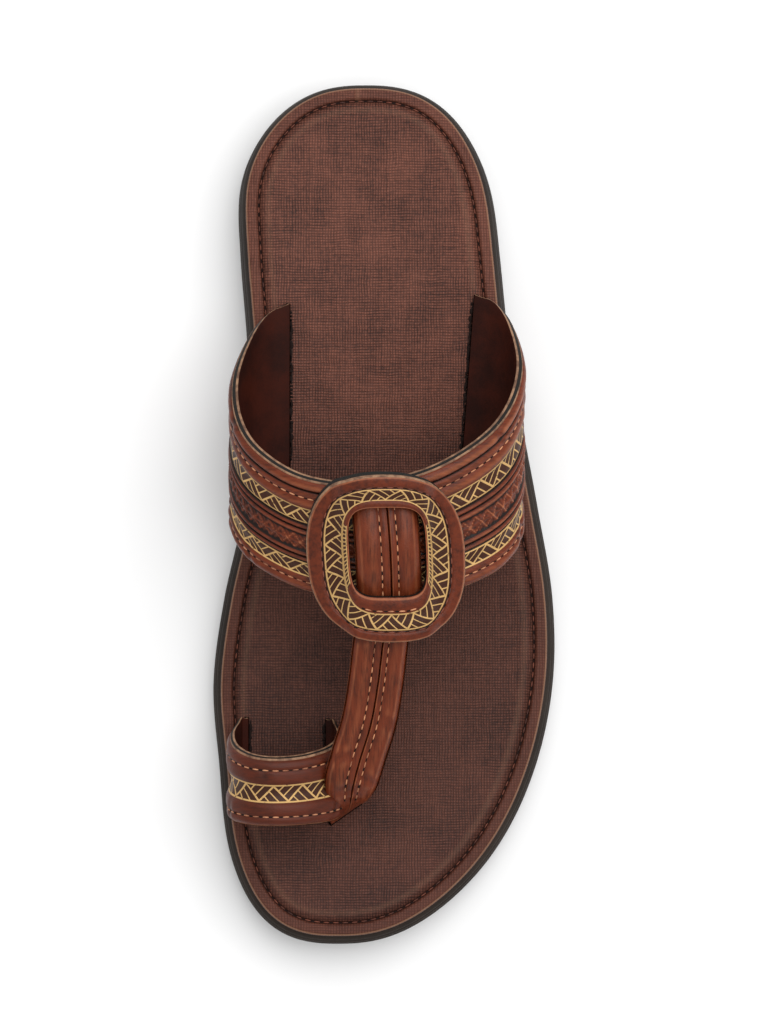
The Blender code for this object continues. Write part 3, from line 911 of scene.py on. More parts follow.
class NodeTable:
    """The nodes of one finish."""

    def __init__(self, name: str) -> None:
        """Starts a material with its shader.

        Args:
            name: The material's name.
        """
        self.material = bpy.data.materials.new(name)
        self.material.use_nodes = True
        self.tree = self.material.node_tree
        self.shader = self.tree.nodes["Principled BSDF"]

    def _feed(self, socket: bpy.types.NodeSocket, value: "Level | float | tuple[float, ...]") -> None:
        """Gives a socket a value, or a link to one."""
        if isinstance(value, Level):
            self.tree.links.new(value.socket, socket)
        elif isinstance(value, tuple) and len(value) == 3 and socket.type == "RGBA":
            socket.default_value = (*value, 1.0)
        else:
            socket.default_value = value

    def add(self, kind: str, settings: dict | None = None, sockets: dict | None = None,
            output: int | str = 0) -> Level:
        """Adds a node.


        Args:
            kind: The node's type.
            settings: Its settings, which are set first.
            sockets: The values or levels of its sockets, by name or number.
            output: The output that is wanted.

        Returns:
            The output as a level.
        """
        made = self.tree.nodes.new(kind)
        for key, value in (settings or {}).items():
            setattr(made, key, value)
        for key, value in (sockets or {}).items():
            self._feed(made.inputs[key], value)
        return Level(self, made.outputs[output])

    def place(self) -> Level:
        """Where a point of the piece lies, in metres."""
        return self.add("ShaderNodeTexCoord", output="Object")

    def parts(self, vector: Level) -> tuple[Level, Level, Level]:
        """A vector's three numbers."""
        node = self.add("ShaderNodeSeparateXYZ", sockets={0: vector}).socket.node
        return tuple(Level(self, socket) for socket in node.outputs)

    def pattern_place(self) -> tuple[Level, Level]:
        """The piece's own pattern coordinates: along it and across it."""
        along, across, _ = self.parts(self.add("ShaderNodeUVMap"))
        return along, across

    def attribute(self, name: str) -> Level:
        """A number that the piece's mesh holds at each point."""
        return self.add("ShaderNodeAttribute", {"attribute_name": name}, output="Fac")

    def stretched(self, vector: Level, sizes: tuple[float, float, float]) -> Level:
        """A place divided by the size of a grain along each direction."""
        scale = tuple(1.0 / size for size in sizes)
        return self.add("ShaderNodeVectorMath", {"operation": "MULTIPLY"}, {0: vector, 1: scale})

    def noise(self, vector: Level, grain: Grain) -> Level:
        """Cloudy noise around 0.5, with this grain."""
        sizes = grain.size if isinstance(grain.size, tuple) else (grain.size,) * 3
        sockets = {"Vector": self.stretched(vector, sizes), "Scale": 1.0, "Detail": grain.detail,
                   "Roughness": grain.roughness}
        return self.add("ShaderNodeTexNoise", sockets=sockets)

    def cells(self, vector: Level, size: float) -> Level:
        """The distance from the walls of pebble-like cells of a size, in cells."""
        sockets = {"Vector": self.stretched(vector, (size, size, size)), "Scale": 1.0}
        return self.add("ShaderNodeTexVoronoi", {"feature": "DISTANCE_TO_EDGE"}, sockets)

    def mix(self, part: Level, low: "Level | Colour", high: "Level | Colour") -> Level:
        """A colour between two, by a part from 0 to 1."""
        sockets = {MIX_PART: part, MIX_LOW: low, MIX_HIGH: high}
        return self.add("ShaderNodeMix", {"data_type": "RGBA"}, sockets, output=MIX_COLOUR)

    def bump(self, height: Level, distance: float, strength: float = 1.0) -> Level:
        """The normal that a height gives, where a height of 1 stands this distance proud."""
        sockets = {"Height": height, "Distance": distance, "Strength": strength}
        return self.add("ShaderNodeBump", sockets=sockets, output="Normal")

    def wear(self, **sockets: "Level | float | tuple[float, ...]") -> None:
        """Sets the shader's own sockets, named with underscores for their spaces."""
        for key, value in sockets.items():
            self._feed(self.shader.inputs[key.replace("_", " ")], value)


# Finishes


@dataclass(frozen=True)
class Finish:
    """A finish of the sandal, made once and worn by several pieces.

    In each finish a ramp holds the values that a level goes from 0 to 1 between, a part holds how
    much of a blend its first level makes up, and relief holds the bump's depth and its strength.
    """

    name: str

    def paint(self, nodes: NodeTable) -> None:
        """Adds the finish's nodes."""
        raise NotImplementedError

    def material(self) -> bpy.types.Material:
        """The finish as a Blender material."""
        nodes = NodeTable(self.name)
        self.paint(nodes)
        return nodes.material


@dataclass(frozen=True)
class RibbonPrint:
    """A gold printed ribbon: a zigzag of triangles, hatched in turn to the left and to the right."""

    low: float
    high: float
    height: float = 0.0056
    period: float = 0.0105
    line: float = 0.00048
    bars: float = 1.5
    stroke: float = 0.56
    zigzag_stroke: float = 1.5
    border_blur: float = 0.00004
    stroke_blur: float = 0.00006

    def _stroke(self, off: Level, weight: float = 1.0) -> Level:
        """The mask of a printed stroke, from the distance to its middle."""
        return off.under(self.line * self.stroke * weight, self.stroke_blur)

    def masks(self, along: Level, across: Level) -> tuple[Level, Level]:
        """Where the ribbon and its gold are.

        Args:
            along: The length along the ribbon.
            across: The place across the piece, in which low and high give the ribbon's borders.

        Returns:
            The mask of the whole ribbon and the mask of its gold.
        """
        blur = self.border_blur
        down = (self.high - across) * (self.height / (self.high - self.low))
        inside = down.step(-blur, blur) * down.under(self.height, blur)
        border = down.lower(self.height - down).under(self.line, blur)
        inner = self.height - 2.0 * self.line
        level = down - self.line
        # The zigzag is drawn at 45 degrees, on a length that is stretched to match.
        side = along * (2.0 * inner / self.period)
        wave = side.to_nearest(2.0 * inner)
        zigzag = self._stroke(abs(level - inner + wave), self.zigzag_stroke)
        rising, falling = (self._stroke((slanted - inner).to_nearest(inner / self.bars))
                           for slanted in (side - level, side + level))
        upright = level < inner - wave
        hatch = upright * falling + (1.0 - upright) * rising
        return inside, inside * border.higher(zigzag).higher(hatch)


@dataclass(frozen=True)
class LadderPrint:
    """A narrow printed strip of dark squares between gold rungs, on two stretches of a ring."""

    low: float
    high: float
    length_round: float
    reach: float = 0.0125
    pitch: float = 0.00157
    line: float = 0.20
    rung: float = 0.00028
    reach_blur: float = 0.0003
    side_blur: float = 0.02
    line_blur: float = 0.03
    rung_blur: float = 0.00005

    def masks(self, along: Level, across: Level) -> tuple[Level, Level]:
        """Where the strip and its gold are.

        Args:
            along: The length round the ring, from its rear.
            across: The level on the ring.

        Returns:
            The mask of the strips and the mask of their gold.
        """
        half = self.length_round / 2.0
        reach = (along - half / 2.0).to_nearest(half).under(self.reach, self.reach_blur)
        part = (across - self.low) * (1.0 / (self.high - self.low))
        inside = reach * part.step(-self.side_blur, self.side_blur) * part.under(1.0, self.side_blur)
        border = part.lower(1.0 - part).under(self.line, self.line_blur)
        rung = along.to_nearest(self.pitch).under(self.rung, self.rung_blur)
        return inside, inside * border.higher(rung)


@dataclass(frozen=True)
class Leather(Finish):
    """Smooth brown leather: cloudy dye, fine grain, painted shade in its hollows, and rubbed edges with
    painted highlights.

    Attributes:
        heights: How far pebbles, pores, streaks and gold stand proud, in parts of the relief.
        dulling: How much pores, streaks and gold add to the roughness.
    """

    colour: Colour = tint(106, 45, 22)
    shade: Colour = tint(58, 24, 13)
    # The rubbed colour is rubbed wear together with painted highlights; the hollow colour is painted
    # shade.
    rubbed_and_highlight: Colour = tint(176, 108, 72)
    hollow_shade: Colour = tint(22, 9, 5)
    roughness: float = 0.30
    ribbons: tuple[RibbonPrint | LadderPrint, ...] = ()
    ribbon_ground: Colour = tint(54, 28, 15)
    gold: Colour = tint(196, 158, 102)
    streak: tuple[float, float, float] = (0.0007, 0.0065, 0.0065)
    streak_layers: tuple[float, float] = (3.0, 0.6)
    cloud: Grain = Grain(0.010, 5.0, 0.6)
    pores: Grain = Grain(0.00035)
    print_wear: Grain = Grain(0.0012, 3.0)
    pebble_size: float = 0.0009
    pebble_wall: Ramp = (0.0, 0.22)
    cloud_part: float = 0.45
    dye_ramp: Ramp = (0.26, 0.62)
    rub_and_highlight_ramp: Ramp = (0.12, 0.95)
    rub_and_highlight_by_tone: float = 0.9
    rub_by_streak: float = 0.26
    hollow_shade_ramp: Ramp = (0.05, 0.85)
    print_ramp: Ramp = (0.22, 0.42)
    ground_cover: float = 0.92
    gold_metal: float = 0.25
    heights: tuple[float, float, float, float] = (0.4, 0.4, 0.5, 0.9)
    dulling: tuple[float, float, float] = (0.08, 0.16, 0.10)
    relief: tuple[float, float] = (0.00007, 0.8)

    def _dye(self, nodes: NodeTable, place: Level, streaks: Level) -> Level:
        """The leather's colour without any print, with its painted light and shade.

        Args:
            nodes: The finish's nodes.
            place: Where a point lies.
            streaks: The leather's fine streaks there.

        Returns:
            The colour.
        """
        tone = nodes.attribute("tone")
        cloud = nodes.noise(place, self.cloud)
        dye = blend(cloud, streaks, self.cloud_part).step(*self.dye_ramp)
        # Tone above 0 mixes in rubbed wear with painted highlights, and tone below 0 mixes in painted
        # shade.
        rub_and_highlight = (tone * self.rub_and_highlight_by_tone + (streaks - 0.5) * self.rub_by_streak).step(*self.rub_and_highlight_ramp)
        colour = nodes.mix(rub_and_highlight, nodes.mix(dye, self.shade, self.colour), self.rubbed_and_highlight)
        return nodes.mix((-tone).step(*self.hollow_shade_ramp), colour, self.hollow_shade)

    def paint(self, nodes: NodeTable) -> None:
        """Adds the leather's nodes."""
        pebble_height, pore_height, streak_height, print_height = self.heights
        pore_dulling, streak_dulling, print_dulling = self.dulling
        place = nodes.place()
        streaks = nodes.noise(place, Grain(self.streak, *self.streak_layers))
        pebbles = nodes.cells(place, self.pebble_size).step(*self.pebble_wall)
        pores = nodes.noise(place, self.pores)
        colour = self._dye(nodes, place, streaks)
        height = pebbles * pebble_height + pores * pore_height + streaks * streak_height
        roughness = self.roughness + pore_dulling * pores + streak_dulling * (streaks - 0.5)
        if self.ribbons:
            metallic = 0.0
            worn_off = nodes.noise(place, self.print_wear).step(*self.print_ramp)
            along, across = nodes.pattern_place()
            for ribbon in self.ribbons:
                inside, gold = ribbon.masks(along, across)
                worn = gold * worn_off
                colour = nodes.mix(inside * self.ground_cover, colour, self.ribbon_ground)
                colour = nodes.mix(worn, colour, self.gold)
                metallic = metallic + worn * self.gold_metal
                roughness = roughness + worn * print_dulling
                height = height + worn * print_height
            nodes.wear(Metallic=metallic)
        nodes.wear(Base_Color=colour, Roughness=roughness, Normal=nodes.bump(height, *self.relief),
                   Specular_IOR_Level=0.20)


@dataclass(frozen=True)
class Lining(Finish):
    """The strap's red-brown lining, matt and brushed."""

    colour: Colour = tint(54, 18, 8)
    shade: Colour = tint(34, 11, 6)
    cloud: Grain = Grain(0.012, 5.0, 0.6)
    nap: Grain = Grain(0.0004, 3.0, 0.7)
    cloud_part: float = 0.7
    dye_ramp: Ramp = (0.35, 0.65)
    relief: tuple[float, float] = (0.00008, 0.6)

    def paint(self, nodes: NodeTable) -> None:
        """Adds the lining's nodes."""
        place = nodes.place()
        cloud = nodes.noise(place, self.cloud)
        nap = nodes.noise(place, self.nap)
        dye = blend(cloud, nap, self.cloud_part).step(*self.dye_ramp)
        nodes.wear(Base_Color=nodes.mix(dye, self.shade, self.colour), Roughness=0.62 + 0.12 * nap,
                   Normal=nodes.bump(nap + cloud, *self.relief), Specular_IOR_Level=0.1)


@dataclass(frozen=True)
class PaintedEdge(Finish):
    """A cut leather edge under dark paint, with small chips."""

    colour: Colour = tint(24, 21, 18)
    chip: Colour = tint(110, 86, 66)
    grain: Grain = Grain(0.0005, 4.0, 0.7)
    chip_ramp: Ramp = (0.62, 0.74)
    relief: tuple[float, float] = (0.0001, 0.7)

    def paint(self, nodes: NodeTable) -> None:
        """Adds the edge paint's nodes."""
        rough = nodes.noise(nodes.place(), self.grain)
        colour = nodes.mix(rough.step(*self.chip_ramp), self.colour, self.chip)
        nodes.wear(Base_Color=colour, Roughness=0.5 + 0.2 * rough,
                   Normal=nodes.bump(rough, *self.relief), Specular_IOR_Level=0.2)


@dataclass(frozen=True)
class RawCornerHighlight(Finish):
    """The thin light line along a cut edge: the leather's bare corner, with a painted highlight."""

    colour: Colour = tint(150, 114, 86)
    shade: Colour = tint(92, 62, 45)
    grain: Grain = Grain(0.0030, 3.0, 0.6)
    rub_and_highlight_ramp: Ramp = (0.32, 0.66)

    def paint(self, nodes: NodeTable) -> None:
        """Adds the corner's nodes."""
        rough = nodes.noise(nodes.place(), self.grain)
        colour = nodes.mix(rough.step(*self.rub_and_highlight_ramp), self.shade, self.colour)
        nodes.wear(Base_Color=colour, Roughness=0.55 + 0.1 * rough, Specular_IOR_Level=0.35)


@dataclass(frozen=True)
class LinenCover(Finish):
    """The footbed's cover: brown leather embossed with an uneven linen weave.

    Attributes:
        thread: The distances from a thread's middle where it starts to dip and where it ends.
        gaps: How deep the lengthwise and the crosswise gaps are, which gap_change moves by patches.
        light: How much of the colour comes from the weave, the cloud and the slubs.
        heights: How much the margin flattens the weave, and how proud the fuzz and the join stand.
    """

    colour: Colour = tint(122, 74, 59)
    shade: Colour = tint(36, 17, 12)
    rust: Colour = tint(92, 47, 32)
    hollow_shade: Colour = tint(30, 13, 9)
    rubbed_and_highlight: Colour = tint(150, 112, 84)
    pitch: float = 0.00092
    thread: Ramp = (0.00005, 0.00030)
    bends: Grain = Grain(0.0070, 3.0)
    wander: float = 0.0011
    patches: Grain = Grain(0.008, 3.0)
    patch_ramp: Ramp = (0.30, 0.70)
    gaps: tuple[float, float] = (0.50, 0.84)
    gap_change: float = 0.34
    flecks: Grain = Grain(0.0012, 3.0, 0.6)
    fleck_ramp: Ramp = (0.28, 0.62)
    fleck_floor: float = 0.40
    cloud: Grain = Grain(0.024, 5.0, 0.6)
    cloud_ramp: Ramp = (0.34, 0.66)
    slubs: tuple[Grain, Grain] = (Grain((0.0010, 0.0120, 0.01)), Grain((0.0120, 0.0010, 0.01)))
    slub_ramp: Ramp = (0.82, 1.20)
    light: tuple[float, float, float] = (0.80, 0.22, 0.14)
    margin_rust: float = 0.30
    rub_and_highlight_ramp: Ramp = (0.1, 1.0)
    hollow_shade_ramp: Ramp = (0.05, 0.9)
    join_place: float = -0.0088
    join_start: float = 0.120
    join_ramp: Ramp = (0.0012, 0.0004)
    join_light: float = 0.14
    # Painted shade of the straps over the forefoot: the cover darkens from the middle towards the toe.
    ball: Ramp = (0.045, -0.020)
    ball_painted_shade: float = 0.42
    fuzz: Grain = Grain(0.0003)
    heights: tuple[float, float, float] = (0.3, 0.3, 1.5)
    relief: tuple[float, float] = (0.00020, 0.9)

    def _weave(self, nodes: NodeTable, place: Level) -> Level:
        """The linen weave: two sets of wandering threads, each deeper in its own patches."""
        shift = (nodes.noise(place, self.bends) - 0.5) * self.wander
        width_place, length_place, _ = nodes.parts(place)
        lengthwise, crosswise = ((part + shift).to_nearest(self.pitch).step(*self.thread)
                                 for part in (width_place, length_place))
        change = self.gap_change * nodes.noise(place, self.patches).step(*self.patch_ramp)
        fleck = nodes.noise(place, self.flecks).step(*self.fleck_ramp)
        low, high = self.gaps
        threads = (1.0 - (1.0 - lengthwise) * (low + change)) * (1.0 - (1.0 - crosswise) * (high - change))
        return threads * (self.fleck_floor + (1.0 - self.fleck_floor) * fleck)

    def paint(self, nodes: NodeTable) -> None:
        """Adds the cover's nodes."""
        by_weave, by_cloud, by_slubs = self.light
        margin_flat, fuzz_height, join_height = self.heights
        place = nodes.place()
        tone, margin = nodes.attribute("tone"), nodes.attribute("margin")
        width_place, length_place, _ = nodes.parts(place)
        weave = self._weave(nodes, place)
        cloud = nodes.noise(place, self.cloud).step(*self.cloud_ramp)
        first, second = (nodes.noise(place, grain) for grain in self.slubs)
        slubs = (first + second).step(*self.slub_ramp) - 0.5
        light = weave * by_weave + by_cloud * cloud + by_slubs * slubs
        join = abs(width_place - self.join_place).step(*self.join_ramp) * margin
        join = join * (length_place > self.join_start)
        colour = nodes.mix(light, self.shade, self.colour)
        # Layers: painted shade of the straps over the forefoot, the rim's redder colour, painted
        # highlights and shade from the tone, and the lighter join.
        for part, layer in (
            (length_place.step(*self.ball) * self.ball_painted_shade, self.shade),
            (margin * self.margin_rust, self.rust),
            (tone.step(*self.rub_and_highlight_ramp), self.rubbed_and_highlight),
            ((-tone).step(*self.hollow_shade_ramp), self.hollow_shade),
            (join * self.join_light, self.rubbed_and_highlight),
        ):
            colour = nodes.mix(part, colour, layer)
        height = weave * (1.0 - margin_flat * margin)
        height = height + nodes.noise(place, self.fuzz) * fuzz_height + join * join_height
        nodes.wear(Base_Color=colour, Roughness=0.56 - 0.08 * weave,
                   Normal=nodes.bump(height, *self.relief), Specular_IOR_Level=0.2)


@dataclass(frozen=True)
class Polyurethane(Finish):
    """The moulded outsole: dark foam with a fine matt skin."""

    colour: Colour = tint(33, 26, 21)
    light: Colour = tint(48, 39, 33)
    skin: Grain = Grain(0.0006, 3.0, 0.65)
    cloud: Grain = Grain(0.02, 3.0)
    skin_part: float = 0.5
    light_ramp: Ramp = (0.35, 0.68)
    relief: tuple[float, float] = (0.00012, 0.7)

    def paint(self, nodes: NodeTable) -> None:
        """Adds the sole's nodes."""
        place = nodes.place()
        skin = nodes.noise(place, self.skin)
        light = blend(skin, nodes.noise(place, self.cloud), self.skin_part).step(*self.light_ramp)
        nodes.wear(Base_Color=nodes.mix(light, self.colour, self.light), Roughness=0.5 + 0.18 * skin,
                   Normal=nodes.bump(skin, *self.relief), Specular_IOR_Level=0.2)


@dataclass(frozen=True)
class Thread(Finish):
    """Waxed sewing thread, twisted along each stitch."""

    colour: Colour = tint(200, 138, 98)
    shade: Colour = tint(128, 76, 50)
    twist: Grain = Grain(0.00025)
    wear: Grain = Grain(0.006, 3.0)
    twist_part: float = 0.4
    dye_ramp: Ramp = (0.36, 0.6)
    relief: tuple[float, float] = (0.00008, 0.6)

    def paint(self, nodes: NodeTable) -> None:
        """Adds the thread's nodes."""
        place = nodes.place()
        twist = nodes.noise(place, self.twist)
        dye = blend(twist, nodes.noise(place, self.wear), self.twist_part).step(*self.dye_ramp)
        nodes.wear(Base_Color=nodes.mix(dye, self.shade, self.colour), Roughness=0.6 + 0.1 * twist,
                   Normal=nodes.bump(twist, *self.relief))


@dataclass(frozen=True)
class Plain(Finish):
    """A plain finish: painted shade for needle holes and slot gaps, and the studio's floor."""

    colour: Colour
    roughness: float

    def paint(self, nodes: NodeTable) -> None:
        """Sets the shader's colour and roughness."""
        nodes.wear(Base_Color=self.colour, Roughness=self.roughness, Specular_IOR_Level=0.2)


# The sandal's sub-assemblies


@dataclass
class Outsole:
    """The moulded outsole: its ribbed side, the face under the footbed and the tread."""

    sole: SoleForm
    finish: Polyurethane = Polyurethane("sole_polyurethane")
    points: int = 288
    wall_rows: int = 84
    inner_loops: int = 7
    spine_reach: float = 0.72
    wall: Rows = (
        (0.00, 0.0014), (0.07, 0.0003), (0.18, 0.0), (0.46, 0.0005), (0.50, 0.0014), (0.56, 0.0014),
        (0.60, 0.0006), (0.76, 0.0009), (0.79, 0.0016), (0.84, 0.0016), (0.87, 0.0010),
        (0.96, 0.0014), (1.00, 0.0023),
    )
    tread_depth: float = 0.0016
    tread_width: float = 0.0030
    tread_pitch: float = 0.0095
    tread_margin: float = 0.0090
    treads: tuple[tuple[float, float], ...] = ((0.045, 0.265), (0.54, 0.77))
    tread_bevel: float = 0.0004
    obj: bpy.types.Object | None = field(default=None, init=False)

    def _profile(self) -> Array:
        """The section from the underside's spine, up the wall, to the upper face's spine.

        Returns:
            Rows of inset, way to the spine and height share.
        """
        heights = np.linspace(0.0, 1.0, self.wall_rows)
        wall = [(inset, 0.0, h) for h, (inset,) in zip(heights, read_table(self.wall, heights))]
        ways = np.linspace(0.0, 1.0, self.inner_loops + 1)[1:]
        under = [(wall[0][0], way, 0.0) for way in ways[::-1]]
        upper = [(wall[-1][0], way, 1.0) for way in ways]
        return np.array(under + wall + upper)

    def build(self) -> None:
        """Models the sole and cuts its tread."""
        points, inward, spine = self.sole.loop(self.points, self.spine_reach)
        rows = []
        for inset, way, height in self._profile():
            flat = (points + inward * inset) * (1.0 - way) + spine * way
            under, top = self.sole.under(flat[:, 1]), self.sole.top(flat[:, 1])
            rows.append(np.column_stack([flat, under + (top - under) * height]))
        self.obj = Bench.sheet("outsole_moulding", np.array(rows))
        Bench.cut(self.obj, self._tread_bars())

    def _tread_bars(self) -> list[bpy.types.Object]:
        """The bars that press the tread's channels."""
        samples = 240
        points, _ = self.sole.outline(samples)
        lateral, medial = points[1:samples // 2], points[samples // 2 + 1:][::-1]
        bars = []
        for start, end in self.treads:
            for i in range(int((end - start) * self.sole.length / self.tread_pitch) + 1):
                y = self.sole.length * (0.5 - start) - i * self.tread_pitch
                low = np.interp(-y, -medial[:, 1], medial[:, 0]) + self.tread_margin
                high = np.interp(-y, -lateral[:, 1], lateral[:, 0]) - self.tread_margin
                size = (high - low, self.tread_width, 2.0 * self.tread_depth)
                bars.append(Bench.box(size, ((low + high) / 2.0, y, 0.0), 0.0, self.tread_bevel))
        return bars

    def dress(self) -> None:
        """Gives the sole its finish."""
        hand_over(self.obj, [self.finish.material()], ("outsole",))


@dataclass
class Footbed:
    """The footbed: a stitched rim, a sewn channel and a dished cushion, slotted for the straps.

    Attributes:
        reveal: How far it stands in from the outsole's outline.
        rim: The rim's width, which all places across the footbed are measured in.
        edge: The places and the levels of the footbed's edge, from its underside up.
        relief: The levels of its upper face at places from the rim inwards.
        shading: The humps of its tone at those places: painted shade in the sewn channel, and painted
            highlights on the outer edge and on the ridge inside the channel.
    """

    sole: SoleForm
    cover: LinenCover = LinenCover("footbed_cover")
    points: int = 288
    reveal: float = 0.0024
    rim: float = 0.0042
    dish: float = 0.0011
    spine_reach: float = 0.72
    inner_loops: int = 12
    edge: Rows = ((0.04, 0.0), (0.0, 0.06), (-0.03, 0.16), (-0.035, 0.35), (-0.02, 0.50), (0.03, 0.60))
    relief: Rows = (
        (0.08, 0.64), (0.14, 0.67), (0.45, 0.70), (0.84, 0.66), (1.02, 0.50), (1.20, 0.68),
        (1.50, 0.93), (1.90, 1.00), (2.50, 0.97),
    )
    shading: Rows = ((-1.0, 1.02, 0.20), (0.8, 0.06, 0.10), (0.26, 1.80, 0.70))
    rim_places: tuple[float, float, int] = (0.10, 1.7, 46)
    cushion_places: tuple[float, float, int] = (1.8, 2.5, 8)
    margin_end: Ramp = (1.0, 1.2)
    channel: float = 1.02
    clearance: float = 0.0003
    slot_bevel: float = 0.0002
    slot_shadow_stretch: tuple[float, float, int] = (0.04, 0.96, 40)
    ray_start: float = 0.1
    obj: bpy.types.Object | None = field(default=None, init=False)

    def _height(self, y: Array, level: Array | float) -> Array:
        """The height at each y of a level in the footbed, 0 at its underside and 1 at its cushion."""
        return self.sole.top(y) + self.sole.seat_gap + self.sole.footbed_height * level

    def build(self, slots: list[tuple[Array, float]]) -> None:
        """Models the footbed and cuts its slots.

        Args:
            slots: For each slot, the first and last points of a foot's wall there, and its thickness.
        """
        points, inward, spine = self.sole.loop(self.points, self.spine_reach)
        places = np.concatenate([np.linspace(*self.rim_places), np.linspace(*self.cushion_places)])
        profile = [*self.edge, *zip(places, read_table(self.relief, places)[:, 0])]
        bottom, last = (points + inward * (self.reveal + self.rim * profile[end][0]) for end in (0, -1))
        ways = np.linspace(0.0, 1.0, self.inner_loops + 1)[1:]
        rows = [(bottom * (1.0 - way) + spine * way, 0.0, 0.0, 0.0) for way in ways[::-1]]
        for place, level in profile:
            flat = points + inward * (self.reveal + self.rim * place)
            margin = 1.0 - smooth_step(*self.margin_end, place)
            rows.append((flat, level, float(humps(self.shading, place)), float(margin)))
        for way in ways:
            sag = self.dish * way * (2.0 - way) / self.sole.footbed_height
            rows.append((last * (1.0 - way) + spine * way, profile[-1][1] - sag, 0.0, 0.0))
        grid = [np.column_stack([flat, self._height(flat[:, 1], level)]) for flat, level, _, _ in rows]
        marks = {
            "tone": np.array([np.full(len(points), tone) for _, _, tone, _ in rows]),
            "margin": np.array([np.full(len(points), margin) for _, _, _, margin in rows]),
        }
        self.obj = Bench.sheet("footbed_cushion", np.array(grid), marks=marks)
        Bench.cut(self.obj, [self._slot(ends, wall) for ends, wall in slots])

    def _slot(self, ends: Array, wall: float) -> bpy.types.Object:
        """A cutter with clearance all round a strap's foot, through the whole footbed."""
        middle = (ends[0] + ends[1]) / 2.0
        way = ends[1] - ends[0]
        length = np.linalg.norm(way[:2]) + 2.0 * self.clearance
        size = (length, wall + 2.0 * self.clearance, 4.0 * self.sole.footbed_height)
        return Bench.box(size, middle, math.atan2(way[1], way[0]), self.slot_bevel)

    def slot_shadow_lines(self, slots: list[tuple[Array, float]]) -> list[tuple[Array, Array]]:
        """The edges of the slots on the cushion, for the painted shadow along them.

        Args:
            slots: For each slot, the first and last points of a foot's wall there, and its thickness.

        Returns:
            For each slot edge, its points and its upward normals.
        """
        bpy.context.view_layer.update()
        down = Vector((0.0, 0.0, -1.0))
        lines = []
        for ends, wall in slots:
            run = ends[1] - ends[0]
            way = unit(run)
            side = np.array([-way[1], way[0], 0.0]) * (wall / 2.0 + 2.0 * self.clearance)
            for edge in (side, -side):
                points = ends[0] + np.linspace(*self.slot_shadow_stretch)[:, None] * run + edge
                hits = [self.obj.ray_cast(Vector((x, y, self.ray_start)), down)[1] for x, y, _ in points]
                lines.append((np.array(hits), np.tile(UP, (len(points), 1))))
        return lines

    def channel_line(self, count: int = 900) -> tuple[Array, Array]:
        """The sewn channel's floor, as points and upward normals."""
        points, inward = self.sole.outline(count)
        flat = points + inward * (self.reveal + self.rim * self.channel)
        level = read_table(self.relief, self.channel)[0]
        line = np.column_stack([flat, self._height(flat[:, 1], level)])
        line = np.concatenate([line, line[:1]])
        return line, np.tile(UP, (len(line), 1))

    def dress(self) -> None:
        """Gives the footbed its cover."""
        hand_over(self.obj, [self.cover.material()], ("footbed",))


@dataclass
class Stitching:
    """One row of stitches along a line of the leather."""

    name: str
    thread: bpy.types.Material
    slot: str
    length: float = 0.0021
    pitch: float = 0.0033
    width: float = 0.00052
    height: float = 0.00050
    proud: float = 0.00006
    hole: bpy.types.Material | None = None
    hole_overlap: float = 0.0001
    hole_spread: float = 1.2
    hole_height: float = 0.00020
    ragged: float = 0.0
    ragged_seed: int = 11

    def _frames(self, points: Array, normals: Array) -> Array:
        """A 4 by 4 matrix for each stitch along one line.

        Args:
            points: The line's points.
            normals: The surface's normals there.

        Returns:
            The matrices, whose directions are along the line, across it and out of the surface.
        """
        lengths = lengths_along(points)
        count = max(1, int(lengths[-1] / self.pitch))
        at = (np.arange(count) + 0.5) * lengths[-1] / count
        start, end = (read_line(lengths, points, at + d) for d in (-self.length / 2.0, self.length / 2.0))
        along = unit(end - start)
        side = unit(np.cross(unit(read_line(lengths, normals, at)), along))
        out = np.cross(along, side)
        frames = np.tile(np.eye(4), (count, 1, 1))
        frames[:, :3, 0], frames[:, :3, 1], frames[:, :3, 2] = along, side, out
        frames[:, :3, 3] = read_line(lengths, points, at) + out * self.proud
        return frames

    def build(self, lines: list[tuple[Array, Array]]) -> None:
        """Sews the row.

        Args:
            lines: For each line, its points and the surface's normals there.
        """
        frames = np.concatenate([self._frames(points, normals) for points, normals in lines])
        if self.ragged:
            draw = np.random.default_rng(self.ragged_seed)
            frames[:, :3, :3] *= 1.0 + self.ragged * draw.uniform(-1.0, 1.0, (len(frames), 1, 3))
            side = draw.uniform(-0.5, 0.5, (len(frames), 1)) * self.ragged * self.width
            frames[:, :3, 3] += unit(frames[:, :3, 1]) * side
        obj = Bench.copies(self.name, self._ball(self.length, self.width, self.height), frames)
        hand_over(obj, [self.thread])
        # Dark balls between the stitches: painted shade in the needle holes.
        if self.hole:
            holes = frames.copy()
            holes[:, :3, 3] += frames[:, :3, 0] * self.pitch / 2.0 - frames[:, :3, 2] * self.proud
            across = self.pitch - self.length + self.hole_overlap
            pattern = self._ball(across, self.width * self.hole_spread, self.hole_height)
            obj = Bench.copies(f"{self.name}_holes", pattern, holes)
            hand_over(obj, [self.hole])

    @staticmethod
    def _ball(length: float, width: float, height: float) -> bpy.types.Object:
        """A small ball drawn long and low, used for stitches, for the painted shade in needle holes and
        for painted shadow along the slots.
        """
        Bench.clear_selection()
        bpy.ops.mesh.primitive_uv_sphere_add(segments=8, ring_count=8, radius=0.5,
                                             rotation=(0.0, math.pi / 2.0, 0.0))
        obj = bpy.context.object
        obj.scale = (height, width, length)
        bpy.ops.object.transform_apply(location=True, rotation=True, scale=True)
        return obj


@dataclass(frozen=True)
class Trim:
    """What the leather pieces are edged, lined and sewn with."""

    edge: bpy.types.Material
    corner: bpy.types.Material
    lining: bpy.types.Material
    thread: bpy.types.Material
    hole: bpy.types.Material


